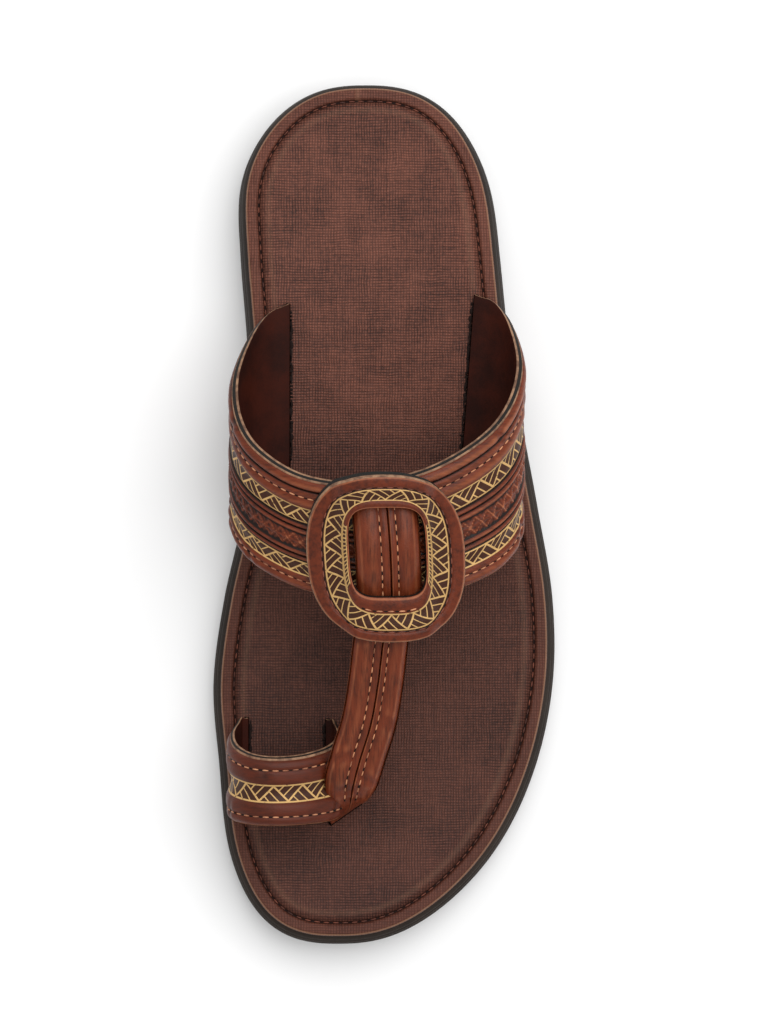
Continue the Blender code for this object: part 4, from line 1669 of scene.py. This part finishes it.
@dataclass
class Strap:
    """A strap swept along its form, with creases across its face and rows of stitches along it.

    Attributes:
        form: Its form, which ends at the share in end.
        feet: Whether it has a foot at its start and at its end.
        face: The outer face's relief at places across it.
        shading: The humps of the outer face's tone: painted shade below 0, rubbed wear with painted
            highlights above 0.
        printed: For each printed band its two borders and the place its length is measured at.
        rows: The places across it of its rows of stitches.
        sewn: The stretch that those run over, and how many points draw it.
    """

    form: ArchForm | MiddleForm
    leather: Leather
    trim: Trim
    name: str = "strap"
    replaces: tuple[str, ...] = ()
    feet: tuple[bool, bool] = (True, True)
    end: float = 2.0
    stations: int = 220
    outer_columns: int = 64
    inner_columns: int = 16
    corner_radius: float = 0.00024
    lean: float = 0.0
    face: Rows = ()
    shading: Rows = ()
    printed: Rows = ()
    rows: tuple[float, ...] = ()
    sewn: tuple[float, float, int] = (0.05, 1.95, 300)
    creases: tuple[Crease, ...] = ()
    obj: bpy.types.Object | None = field(default=None, init=False)

    def _relief(self, across: Array | float) -> Array:
        """The outer face's relief."""
        return read_table(self.face, across)[..., 0]

    def _tone(self, across: Array) -> Array:
        """The outer face's tone: painted shade in its hollows below 0, and rubbed wear with painted
        highlights above 0.
        """
        return humps(self.shading, across)

    def _detail(self, shares: Array, across: Array) -> tuple[Array, Array]:
        """What the outer face has besides, as relief and tone: the creases."""
        return creased(self.creases, shares, across)

    def _pattern(self, shares: Array, across: Array) -> Array | None:
        """The coordinates that the prints are drawn by.

        Args:
            shares: The places along the strap, feet included.
            across: The places across it.

        Returns:
            The length along the strap and the place across it at each point, or None for no print.
        """
        if not self.printed:
            return None
        along = np.empty((len(shares), len(across)))
        for low, high, middle in self.printed:
            places, lengths = self.form.lengths(middle)
            here = (across >= low) & (across < high)
            along[:, here] = np.interp(shares, places, lengths)[:, None]
        return np.stack([along, np.broadcast_to(across, along.shape)], axis=-1)

    def build(self) -> None:
        """Models the strap with its feet."""
        section = Section.of_strap(self.form.wall, self.corner_radius, self.outer_columns,
                                   self.inner_columns, self._relief, self._tone, self.lean)
        shares = np.linspace(0.0, self.end, self.stations)
        points, tones = section.sweep(self.form, shares, self._detail)
        grid = with_feet(points, self.form.sole, self.feet)
        uv = self._pattern(with_ends(shares, self.feet), section.across)
        marks = {"tone": with_ends(tones, self.feet)}
        self.obj = Bench.sheet(self.name, grid, uv, marks, section.zones)

    def line(self, across: float) -> tuple[Array, Array]:
        """A line along the strap's face, for a row of stitches.

        Args:
            across: Its place across the strap.

        Returns:
            The line's points and the face's normals.
        """
        shares = np.linspace(*self.sewn)
        here = np.full_like(shares, across)
        _, _, out = self.form.ways(shares, here)
        folds, _ = creased(self.creases, shares, here)
        height = (self._relief(across) + folds) * self.form.strength(shares)
        return self.form.at(shares, here) + out * height[:, None], out

    def _finishes(self) -> list[bpy.types.Material]:
        """Its materials, in the order of the zones."""
        return [self.leather.material(), self.trim.corner, self.trim.edge, self.trim.lining]

    def dress(self) -> None:
        """Gives the strap its finishes and sews it."""
        hand_over(self.obj, self._finishes(), self.replaces)
        lines = [self.line(across) for across in self.rows]
        name = f"{self.name}_stitches"
        Stitching(name, self.trim.thread, "strap_leather", hole=self.trim.hole).build(lines)

    def slots(self) -> list[tuple[Array, float]]:
        """The strap's feet in the footbed.

        Returns:
            For each foot, the first and last points of the middle of its wall, and the wall.
        """
        slots = []
        for share in (0.0, self.end):
            ends = self.form.at(share, np.array([0.0, 1.0]))
            _, _, out = self.form.ways(np.full(2, share), np.array([0.5, 0.5]))
            level = out * np.array([1.0, 1.0, 0.0])
            wall = self.form.wall * float(np.linalg.norm(level[0]))
            slots.append((ends - unit(level) * wall / 2.0, wall))
        return slots


@dataclass
class WideStrap(Strap):
    """The wide strap over the foot: rolled margins, two printed ribbons and a plaited strip.

    Attributes:
        ridge: The relief from which a ridge wholly takes the rubbed colour with its painted highlight.
        plait: The borders of the plaited strip.
        plait_widths: The half widths of its waves and of its spine.
        plait_heights: The heights of its leather and of the strokes between.
        plait_tones: How much rubbed colour and painted highlight its raised leather takes, and how much
            painted shade the ground between the strokes takes.
    """

    name: str = "wide_strap"
    replaces: tuple[str, ...] = ("upper",)
    stations: int = 420
    outer_columns: int = 111
    inner_columns: int = 24
    corner_radius: float = 0.00026
    lean: float = 0.0012
    face: Rows = (
        (0.000, -0.0006), (0.014, -0.0001), (0.035, 0.0004), (0.060, 0.0005), (0.078, 0.0002),
        (0.090, -0.0004), (0.102, 0.0001), (0.130, 0.0003), (0.158, -0.0001), (0.186, 0.0003),
        (0.230, 0.0003), (0.252, -0.0003), (0.385, -0.0003), (0.398, -0.0005), (0.415, 0.0003),
        (0.430, 0.0003), (0.444, -0.0003), (0.460, 0.0004), (0.480, 0.0004), (0.496, -0.0002),
        (0.565, 0.0), (0.640, -0.0002), (0.655, 0.0004), (0.675, 0.0004), (0.690, -0.0003),
        (0.704, 0.0003), (0.722, 0.0003), (0.736, -0.0005), (0.750, -0.0003), (0.865, -0.0003),
        (0.880, 0.0002), (0.900, 0.0002), (0.918, -0.0002), (0.936, 0.0003), (0.970, 0.0002),
        (1.000, -0.0007),
    )
    # Painted shade in the grooves.
    shading: Rows = tuple(
        (-1.0, groove, 0.018) for groove in (0.090, 0.398, 0.444, 0.496, 0.640, 0.690, 0.736)
    )
    ridge: float = 0.0006
    ridge_tone: float = 0.55
    printed: Rows = ((-0.1, 0.44, 0.32), (0.44, 0.69, 0.565), (0.69, 1.1, 0.805))
    rows: tuple[float, ...] = (0.158, 0.918)
    sewn: tuple[float, float, int] = (0.03, 1.97, 500)
    plait: tuple[float, float] = (0.496, 0.640)
    plait_period: float = 0.0096
    plait_swing: float = 0.42
    plait_widths: tuple[float, float] = (0.12, 0.07)
    spine_strength: float = 0.7
    stroke_pitch: float = 0.0024
    stroke_slant: float = 1.8
    stroke_width: float = 0.26
    plait_end: float = 0.08
    plait_heights: tuple[float, float] = (0.0005, 0.00024)
    plait_tones: tuple[float, float] = (0.8, 0.45)
    # Painted shade that darkens the strap towards its foot at -X, the side turned away from the key light.
    painted_side_shade: float = 0.46
    painted_side_shade_end: Ramp = (0.45, 0.95)
    creases: tuple[Crease, ...] = (
        Crease(0.34, 0.55, 0.50, 0.022, 0.10, 0.00040),
        Crease(0.44, 0.92, 0.26, 0.016, 0.22, 0.00035),
        Crease(0.55, 0.06, 0.20, 0.014, -0.15, 0.00030),
        Crease(0.66, 0.95, 0.18, 0.012, 0.10, 0.00025),
        Crease(1.36, 0.06, 0.18, 0.012, 0.12, 0.00025),
        Crease(1.50, 0.94, 0.24, 0.015, -0.20, 0.00035),
        Crease(1.58, 0.30, 0.34, 0.020, 0.16, 0.00035),
        Crease(1.68, 0.60, 0.50, 0.024, -0.10, 0.00040),
    )

    def _tone(self, across: Array) -> Array:
        """Painted shade in the grooves, and rubbed wear with painted highlights on the ridges."""
        ridges = np.clip(self._relief(across) / self.ridge, 0.0, 1.0)
        return super()._tone(across) + ridges * self.ridge_tone

    def _plaited(self, shares: Array, across: Array) -> tuple[Array, Array]:
        """The plait: two waves of leather that cross, with cut strokes between them.

        Args:
            shares: Places along the strap.
            across: Places across it.

        Returns:
            The plait's relief and its tone.
        """
        low, high = self.plait
        wave_width, spine_width = self.plait_widths
        over_height, stroke_height = self.plait_heights
        over_tone, under_tone = self.plait_tones
        places, lengths = self.form.lengths((low + high) / 2.0)
        along = np.interp(shares, places, lengths)
        v = (across - low) / (high - low)
        off = v - 0.5
        swing = self.plait_swing * (2.0 * np.abs((along / self.plait_period) % 1.0 * 2.0 - 1.0) - 1.0)
        waves = np.maximum(hump(0.0, wave_width, off - swing), hump(0.0, wave_width, off + swing))
        over = np.maximum(waves, self.spine_strength * hump(0.0, spine_width, off))
        turn = (along / self.stroke_pitch + np.abs(off) * self.stroke_slant) % 1.0
        stroke = hump(0.5, self.stroke_width, turn)
        inside = smooth_step(0.0, self.plait_end, v) * (1.0 - smooth_step(1.0 - self.plait_end, 1.0, v))
        height = inside * (over_height * over + stroke_height * stroke * (1.0 - over))
        return height, inside * (over_tone * over - under_tone * (1.0 - over) * (1.0 - stroke))

    def _detail(self, shares: Array, across: Array) -> tuple[Array, Array]:
        """The relief and tone of the plait and the creases, with painted shade on the strap's -X side."""
        height, tone = self._plaited(shares, across)
        folds, fold_tone = super()._detail(shares, across)
        painted_side_shade = self.painted_side_shade * (1.0 - smooth_step(*self.painted_side_shade_end, shares))
        return height + folds, tone + fold_tone - painted_side_shade


@dataclass
class ToeRing(Strap):
    """The ring for the big toe: stitched margins and one printed ribbon."""

    name: str = "toe_ring"
    lean: float = 0.0013
    face: Rows = (
        (0.00, -0.0008), (0.03, -0.0001), (0.08, 0.0004), (0.13, 0.0004), (0.156, 0.0001),
        (0.18, 0.0004), (0.26, 0.0006), (0.34, 0.0003), (0.375, -0.0002), (0.65, -0.0002),
        (0.685, 0.0003), (0.76, 0.0006), (0.84, 0.0003), (0.864, 0.0), (0.89, 0.0003),
        (0.95, 0.0001), (1.00, -0.0009),
    )
    # Lighter rims, and painted shade in the two sewn grooves.
    shading: Rows = ((0.3, 0.0, 0.05), (0.4, 1.0, 0.06), (-0.45, 0.156, 0.03), (-0.45, 0.864, 0.03))
    printed: Rows = ((-0.1, 1.1, 0.5),)
    rows: tuple[float, ...] = (0.156, 0.864)
    creases: tuple[Crease, ...] = (
        Crease(0.50, 0.30, 0.45, 0.034, 0.14, 0.00030),
        Crease(0.62, 0.86, 0.28, 0.028, -0.16, 0.00025),
        Crease(0.95, 0.24, 0.20, 0.024, 0.10, 0.00016),
        Crease(1.40, 0.80, 0.34, 0.030, -0.14, 0.00028),
    )


@dataclass
class MiddleStrap(Strap):
    """The strap from the frame to the toe post: two folded edges that meet at a slit."""

    name: str = "middle_strap"
    feet: tuple[bool, bool] = (False, True)
    end: float = 1.0
    stations: int = 260
    outer_columns: int = 91
    inner_columns: int = 12
    corner_radius: float = 0.00040
    face: Rows = (
        (0.00, -0.0022), (0.02, -0.0014), (0.05, -0.0008), (0.10, -0.0001), (0.17, 0.0004),
        (0.25, 0.0006), (0.32, 0.0003), (0.355, -0.0001), (0.39, 0.0003), (0.43, 0.0004),
        (0.456, 0.0003), (0.47, -0.0007), (0.484, 0.0003), (0.51, 0.0004), (0.57, 0.0003),
        (0.605, -0.0001), (0.64, 0.0003), (0.72, 0.0006), (0.81, 0.0004), (0.89, -0.0001),
        (0.95, -0.0008), (0.98, -0.0014), (1.00, -0.0022),
    )
    # Painted shade in the slit and along the sides, lighter lines beside the slit, and painted highlights
    # along the folds and on the two padded crowns.
    shading: Rows = (
        (-1.0, 0.470, 0.012),
        (0.8, 0.448, 0.012),
        (0.4, 0.492, 0.012),
        (0.4, 0.09, 0.05),
        (0.4, 0.91, 0.05),
        (0.30, 0.74, 0.16),
        (0.26, 0.22, 0.14),
        (-0.35, 0.0, 0.05),
        (-0.35, 1.0, 0.05),
    )
    rows: tuple[float, ...] = (0.355, 0.605)
    sewn: tuple[float, float, int] = (0.0, 0.86, 400)
    creases: tuple[Crease, ...] = (
        Crease(0.40, 0.85, 0.30, 0.010, 0.03, 0.00025),
        Crease(0.62, 0.14, 0.22, 0.012, -0.05, 0.00022),
        Crease(0.735, 0.82, 0.32, 0.011, 0.06, 0.00035),
        Crease(0.78, 0.25, 0.34, 0.012, -0.06, 0.00040),
        Crease(0.825, 0.60, 0.42, 0.012, 0.04, 0.00040),
        Crease(0.865, 0.35, 0.40, 0.010, -0.03, 0.00035),
    )

    def _finishes(self) -> list[bpy.types.Material]:
        """Leather round its folded edges too, and its lining."""
        leather = self.leather.material()
        return [leather, leather, leather, self.trim.lining]

    def slots(self) -> list[tuple[Array, float]]:
        """The toe post's foot in the footbed."""
        ends = self.form.at(self.end, np.array([0.0, 1.0]))
        way = unit(ends[1] - ends[0])
        side = np.array([-way[1], way[0], 0.0])
        _, _, out = self.form.ways(np.array([self.end]), np.array([0.5]))
        side = side * np.sign(np.dot(side, out[0]))
        return [(ends - side * self.form.wall / 2.0, self.form.wall)]


@dataclass
class StrapFrame:
    """The frame over the crossing: a printed ring of leather round a window.

    Attributes:
        loops: For each level its half width, its half length, its squareness and its shift back.
        face: The upper face's relief at each level.
        shading: The humps of its tone across the levels: rubbed edges with painted highlights, and painted
            shade in the groove by the outer stitches.
    """

    crossing: CrossingForm
    leather: Leather
    trim: Trim
    thread: bpy.types.Material
    wall: float = 0.0024
    around: int = 360
    loops: Rows = (
        (0.01150, 0.0153, 4.2, 0.0024),
        (0.01345, 0.0193, 3.3, 0.0008),
        (0.01970, 0.0242, 2.8, -0.0002),
        (0.02530, 0.0283, 2.4, 0.0),
    )
    face: Rows = (
        (0.00, -0.0002), (0.20, 0.0001), (0.80, 0.0001), (1.00, -0.0002), (2.00, -0.0002),
        (2.06, -0.0003), (2.22, 0.0003), (2.60, 0.0005), (2.90, 0.0002), (3.00, -0.0001),
    )
    columns: int = 76
    corner_radius: float = 0.00028
    inner_run: float = 0.0022
    outer_run: float = 0.0055
    lean: float = 0.0012
    lean_angle: float = math.radians(-30.0)
    lean_power: float = 0.7
    edge_depths: tuple[float, float] = (0.35, 0.65)
    lining_levels: tuple[float, float, int] = (2.8, 0.2, 12)
    # Rubbed wear with painted highlights on the outer and window edges, and painted shade in the groove.
    shading: Rows = ((0.6, 2.9, 0.14), (0.7, 0.10, 0.16), (-0.8, 2.07, 0.09))
    print_levels: tuple[float, float] = (1.0, 2.0)
    print_height: float = 0.0057
    print_period: float = 0.0079
    ladder_levels: tuple[float, float] = (0.28, 1.06)
    sewn_level: float = 2.13
    front_level: float = 0.84
    front_reach: float = 0.60
    line_points: int = 600
    probe: float = 0.001
    obj: bpy.types.Object | None = field(default=None, init=False)

    def _relief(self, level: Array) -> Array:
        """The upper face's relief."""
        return read_table(self.face, level)[..., 0]

    def _flat(self, level: Array, angle: Array) -> tuple[Array, Array]:
        """Places on the frame before it is bent: how far to +X and how far to the heel.

        Args:
            level: 0 at the window, 1 and 2 at the print's borders, 3 at the outer edge.
            angle: The place round it, 0 at the rear.

        Returns:
            The two distances.
        """
        sine, cosine = np.sin(angle), np.cos(angle)
        side = np.zeros(np.broadcast(level, angle).shape)
        back = np.zeros_like(side)
        for i, (width, length, power, shift) in enumerate(self.loops):
            part = np.clip(1.0 - np.abs(level - i), 0.0, 1.0)
            radius = (np.abs(sine) ** power + np.abs(cosine) ** power) ** (-1.0 / power)
            side = side + part * width * sine * radius
            back = back + part * (length * cosine * radius + shift)
        return side, back

    def point(self, level: Array, angle: Array, height: Array) -> Array:
        """Points of the frame.

        Args:
            level: 0 at the window, 1 and 2 at the print's borders, 3 at the outer edge.
            angle: The places round it, 0 at the rear.
            height: The heights over its underside.

        Returns:
            The points.
        """
        side, back = self._flat(level, angle)
        facing = np.clip(np.cos(angle - self.lean_angle), 0.0, 1.0) ** self.lean_power
        outside, below = np.clip(level - 2.0, 0.0, 1.0), np.clip(1.0 - height / self.wall, 0.0, 1.0)
        out = self.lean * facing * outside * below
        return self.crossing.frame_point(side + out * np.sin(angle), back + out * np.cos(angle), height)

    def _angles(self) -> Array:
        """The places round the frame, from its rear and back to it."""
        return -np.linspace(0.0, 2.0 * np.pi, self.around + 1)

    def build(self) -> None:
        """Models the frame."""
        wall, corner = self.wall, self.corner_radius
        bends = np.append(0.0, CORNER_BENDS)
        short, down = 1.0 - np.sin(bends), corner * (1.0 - np.cos(bends))
        inner, outer = corner / self.inner_run, corner / self.outer_run
        top = np.linspace(inner, 3.0 - outer, self.columns)
        rise = self._relief(top)
        edge, lining = np.array(self.edge_depths) * wall, np.linspace(*self.lining_levels)
        parts = [
            (top, wall + rise, Zone.FACE),
            (3.0 - outer * short, wall + rise[-1] - down, Zone.CORNER),
            (np.full(2, 3.0), edge[::-1], Zone.EDGE),
            (3.0 - outer * short[::-1], down[::-1], Zone.EDGE),
            (lining, np.zeros_like(lining), Zone.LINING),
            (inner * short, down, Zone.EDGE),
            (np.zeros(2), edge, Zone.EDGE),
            (inner * short[::-1], wall + rise[0] - down[::-1], Zone.FACE),
        ]
        zone = np.concatenate([np.full(len(part[0]), part[2].value) for part in parts])
        level, height = (np.concatenate([*(part[i] for part in parts), parts[0][i][:1]]) for i in (0, 1))
        angle = self._angles()
        shape = (len(angle), len(level))
        points = self.point(level[None, :], angle[:, None], np.broadcast_to(height, shape))
        tones = np.array(np.broadcast_to(humps(self.shading, level), shape))
        uv = np.stack([np.broadcast_to(self._round(angle)[:, None], shape),
                       np.broadcast_to(level, shape)], axis=-1)
        self.obj = Bench.sheet("strap_frame_leather", points, uv, {"tone": tones}, zone)

    def _round(self, angle: Array) -> Array:
        """The lengths round the middle of the print."""
        side, back = self._flat(np.full_like(angle, sum(self.print_levels) / 2.0), angle)
        return lengths_along(np.stack([side, back], axis=-1))

    def _ribbons(self) -> tuple[RibbonPrint | LadderPrint, ...]:
        """Its two prints: the ribbon, whose pattern closes on itself, and the strip by the window."""
        length = float(self._round(self._angles())[-1])
        period = length / round(length / self.print_period)
        return (RibbonPrint(*self.print_levels, height=self.print_height, period=period),
                LadderPrint(*self.ladder_levels, length))

    def line(self, level: float, start: float, end: float) -> tuple[Array, Array]:
        """A line round the frame's face, for a row of stitches.

        Args:
            level: Its level on the frame.
            start: The place round the frame where it starts.
            end: The place where it ends.

        Returns:
            The line's points and the face's normals.
        """
        angle = np.linspace(start, end, self.line_points)
        here = np.full_like(angle, level)
        height = np.full_like(angle, self.wall + self._relief(level))
        points = self.point(here, angle, height)
        return points, unit(self.point(here, angle, height + self.probe) - points)

    def dress(self) -> None:
        """Gives the frame its finishes and sews it."""
        leather = replace(self.leather, ribbons=self._ribbons()).material()
        finishes = [leather, self.trim.corner, self.trim.edge, self.trim.lining]
        hand_over(self.obj, finishes, ("strap_frame",))
        outer = self.line(self.sewn_level, 0.0, 2.0 * np.pi)
        front = self.line(self.front_level, np.pi - self.front_reach, np.pi + self.front_reach)
        for name, thread, line in (("strap_frame_stitches", self.thread, outer),
                                   ("frame_front_stitches", self.trim.thread, front)):
            Stitching(name, thread, "frame_leather", hole=self.trim.hole).build([line])


@dataclass
class Studio:
    """The pale floor, the soft lights and the camera over the sandal."""

    elevation: float = 87.0
    distance: float = 1.8
    lens: float = 190.0
    aim: tuple[float, float, float] = (0.0, 0.0, 0.015)
    floor_colour: Colour = (0.90, 0.90, 0.90)
    floor_size: float = 6.0
    world_strength: float = 0.78
    clip: tuple[float, float] = (0.05, 20.0)
    lights: tuple[tuple[str, tuple[float, float, float], float, float], ...] = (
        ("soft_key", (0.55, 0.32, 1.40), 1.5, 14.0),
        ("soft_fill", (0.05, 0.95, 1.30), 1.0, 4.5),
    )

    def build(self) -> None:
        """Sets the floor, the lights and the camera."""
        scene = bpy.context.scene
        scene.view_settings.view_transform = "Standard"
        scene.view_settings.look = "None"
        Bench.clear_selection()
        bpy.ops.mesh.primitive_plane_add(size=self.floor_size)
        floor = bpy.context.object
        floor.name = "studio_floor"
        floor.data.materials.append(Plain("studio_floor", self.floor_colour, 0.9).material())
        world = bpy.data.worlds.new("studio_light")
        world.use_nodes = True
        background = world.node_tree.nodes["Background"]
        background.inputs["Color"].default_value = (1.0, 1.0, 1.0, 1.0)
        background.inputs["Strength"].default_value = self.world_strength
        scene.world = world
        for light in self.lights:
            self._light(*light)
        self._camera()

    def _light(self, name: str, place: tuple[float, float, float], size: float, power: float) -> None:
        """Hangs one soft light that faces the sandal."""
        bpy.ops.object.light_add(type="AREA", location=place)
        light = bpy.context.object
        light.name = name
        light.data.size = size
        light.data.energy = power
        way = Vector(self.aim) - Vector(place)
        light.rotation_euler = way.to_track_quat("-Z", "Y").to_euler()

    def _camera(self) -> None:
        """Hangs the camera at the photograph's angle."""
        tilt = math.radians(self.elevation)
        back = Vector((0.0, -math.cos(tilt), math.sin(tilt)))
        place = Vector(self.aim) + back * self.distance
        bpy.ops.object.camera_add(location=place, rotation=(-back).to_track_quat("-Z", "Y").to_euler())
        camera = bpy.context.object
        camera.data.lens = self.lens
        camera.data.clip_start, camera.data.clip_end = self.clip
        bpy.context.scene.camera = camera


def main() -> None:
    """Builds and dresses the sandal, piece by piece, and sets the studio."""
    logging.basicConfig(level=logging.INFO, format="%(name)s: %(message)s")
    sole = SoleForm()
    vamp = ArchForm(
        sole, centre=-0.0021, half_width=0.0482, slot_half_gaps=(0.0318, 0.0295),
        apexes=(0.0050, -0.0315), rises=(0.0560, 0.0450), setbacks=(0.0650, 0.0450),
        turns=(math.radians(2.6), math.radians(-2.0)), shift=-0.0037, wall=0.0027,
    )
    ring = ArchForm(
        sole, centre=-0.0320, half_width=0.0190, slot_half_gaps=(0.0140, 0.0140),
        apexes=(-0.0830, -0.1043), rises=(0.0290, 0.0260), setbacks=(0.0142, 0.0057),
        turns=(math.radians(-1.0), 0.0), shift=-0.0041, wall=0.0022,
    )
    crossing = CrossingForm(vamp)
    middle = MiddleForm(crossing)

    # Painted shade for needle holes and slot gaps.
    hole = Plain("hole_and_slot_shade", tint(26, 12, 8), 0.8).material()
    brown_thread = Thread("brown_thread", tint(120, 62, 42), tint(60, 29, 20)).material()
    trim = Trim(PaintedEdge("painted_edge").material(), RawCornerHighlight("raw_corner_highlight").material(),
                Lining("strap_lining").material(), Thread("tan_thread").material(), hole)

    lengthways = (0.0045, 0.0009, 0.0045)
    vamp_ribbons = (RibbonPrint(0.255, 0.385), RibbonPrint(0.745, 0.865))
    wide = WideStrap(vamp, Leather("strap_leather", ribbons=vamp_ribbons, streak=lengthways), trim)
    ring_ribbons = (RibbonPrint(0.375, 0.650, period=0.0100),)
    # The ring's leather is darker than the straps': painted shade that offsets the sheen on its puffed
    # face.
    toe_ring = ToeRing(ring, Leather("ring_leather_shaded", colour=tint(84, 33, 15), roughness=0.38,
                                     ribbons=ring_ribbons, streak=lengthways), trim)
    middle_strap = MiddleStrap(middle, Leather("middle_leather"), trim)
    frame_leather = Leather("frame_leather", colour=tint(100, 41, 19), streak=(0.0016, 0.0016, 0.0016))
    strap_frame = StrapFrame(crossing, frame_leather, trim, brown_thread)
    for piece in (wide, toe_ring, middle_strap, strap_frame, Outsole(sole)):
        piece.build()
        piece.dress()

    footbed = Footbed(sole)
    footbed.build(wide.slots() + toe_ring.slots() + middle_strap.slots())
    footbed.dress()
    # Dark ragged marks along the wide strap's and the ring's slots: painted shadow in the slot gaps.
    Stitching("slot_shadow_marks", hole, "footbed_cover", length=0.0017, pitch=0.0012, width=0.0010, height=0.0006,
              proud=0.0001, ragged=0.55).build(footbed.slot_shadow_lines(wide.slots() + toe_ring.slots()))
    Stitching("footbed_stitches", brown_thread, "footbed_cover", length=0.0020, pitch=0.0031,
              width=0.00045, hole=hole).build([footbed.channel_line()])

    Studio().build()


if __name__ == "__main__":
    main()
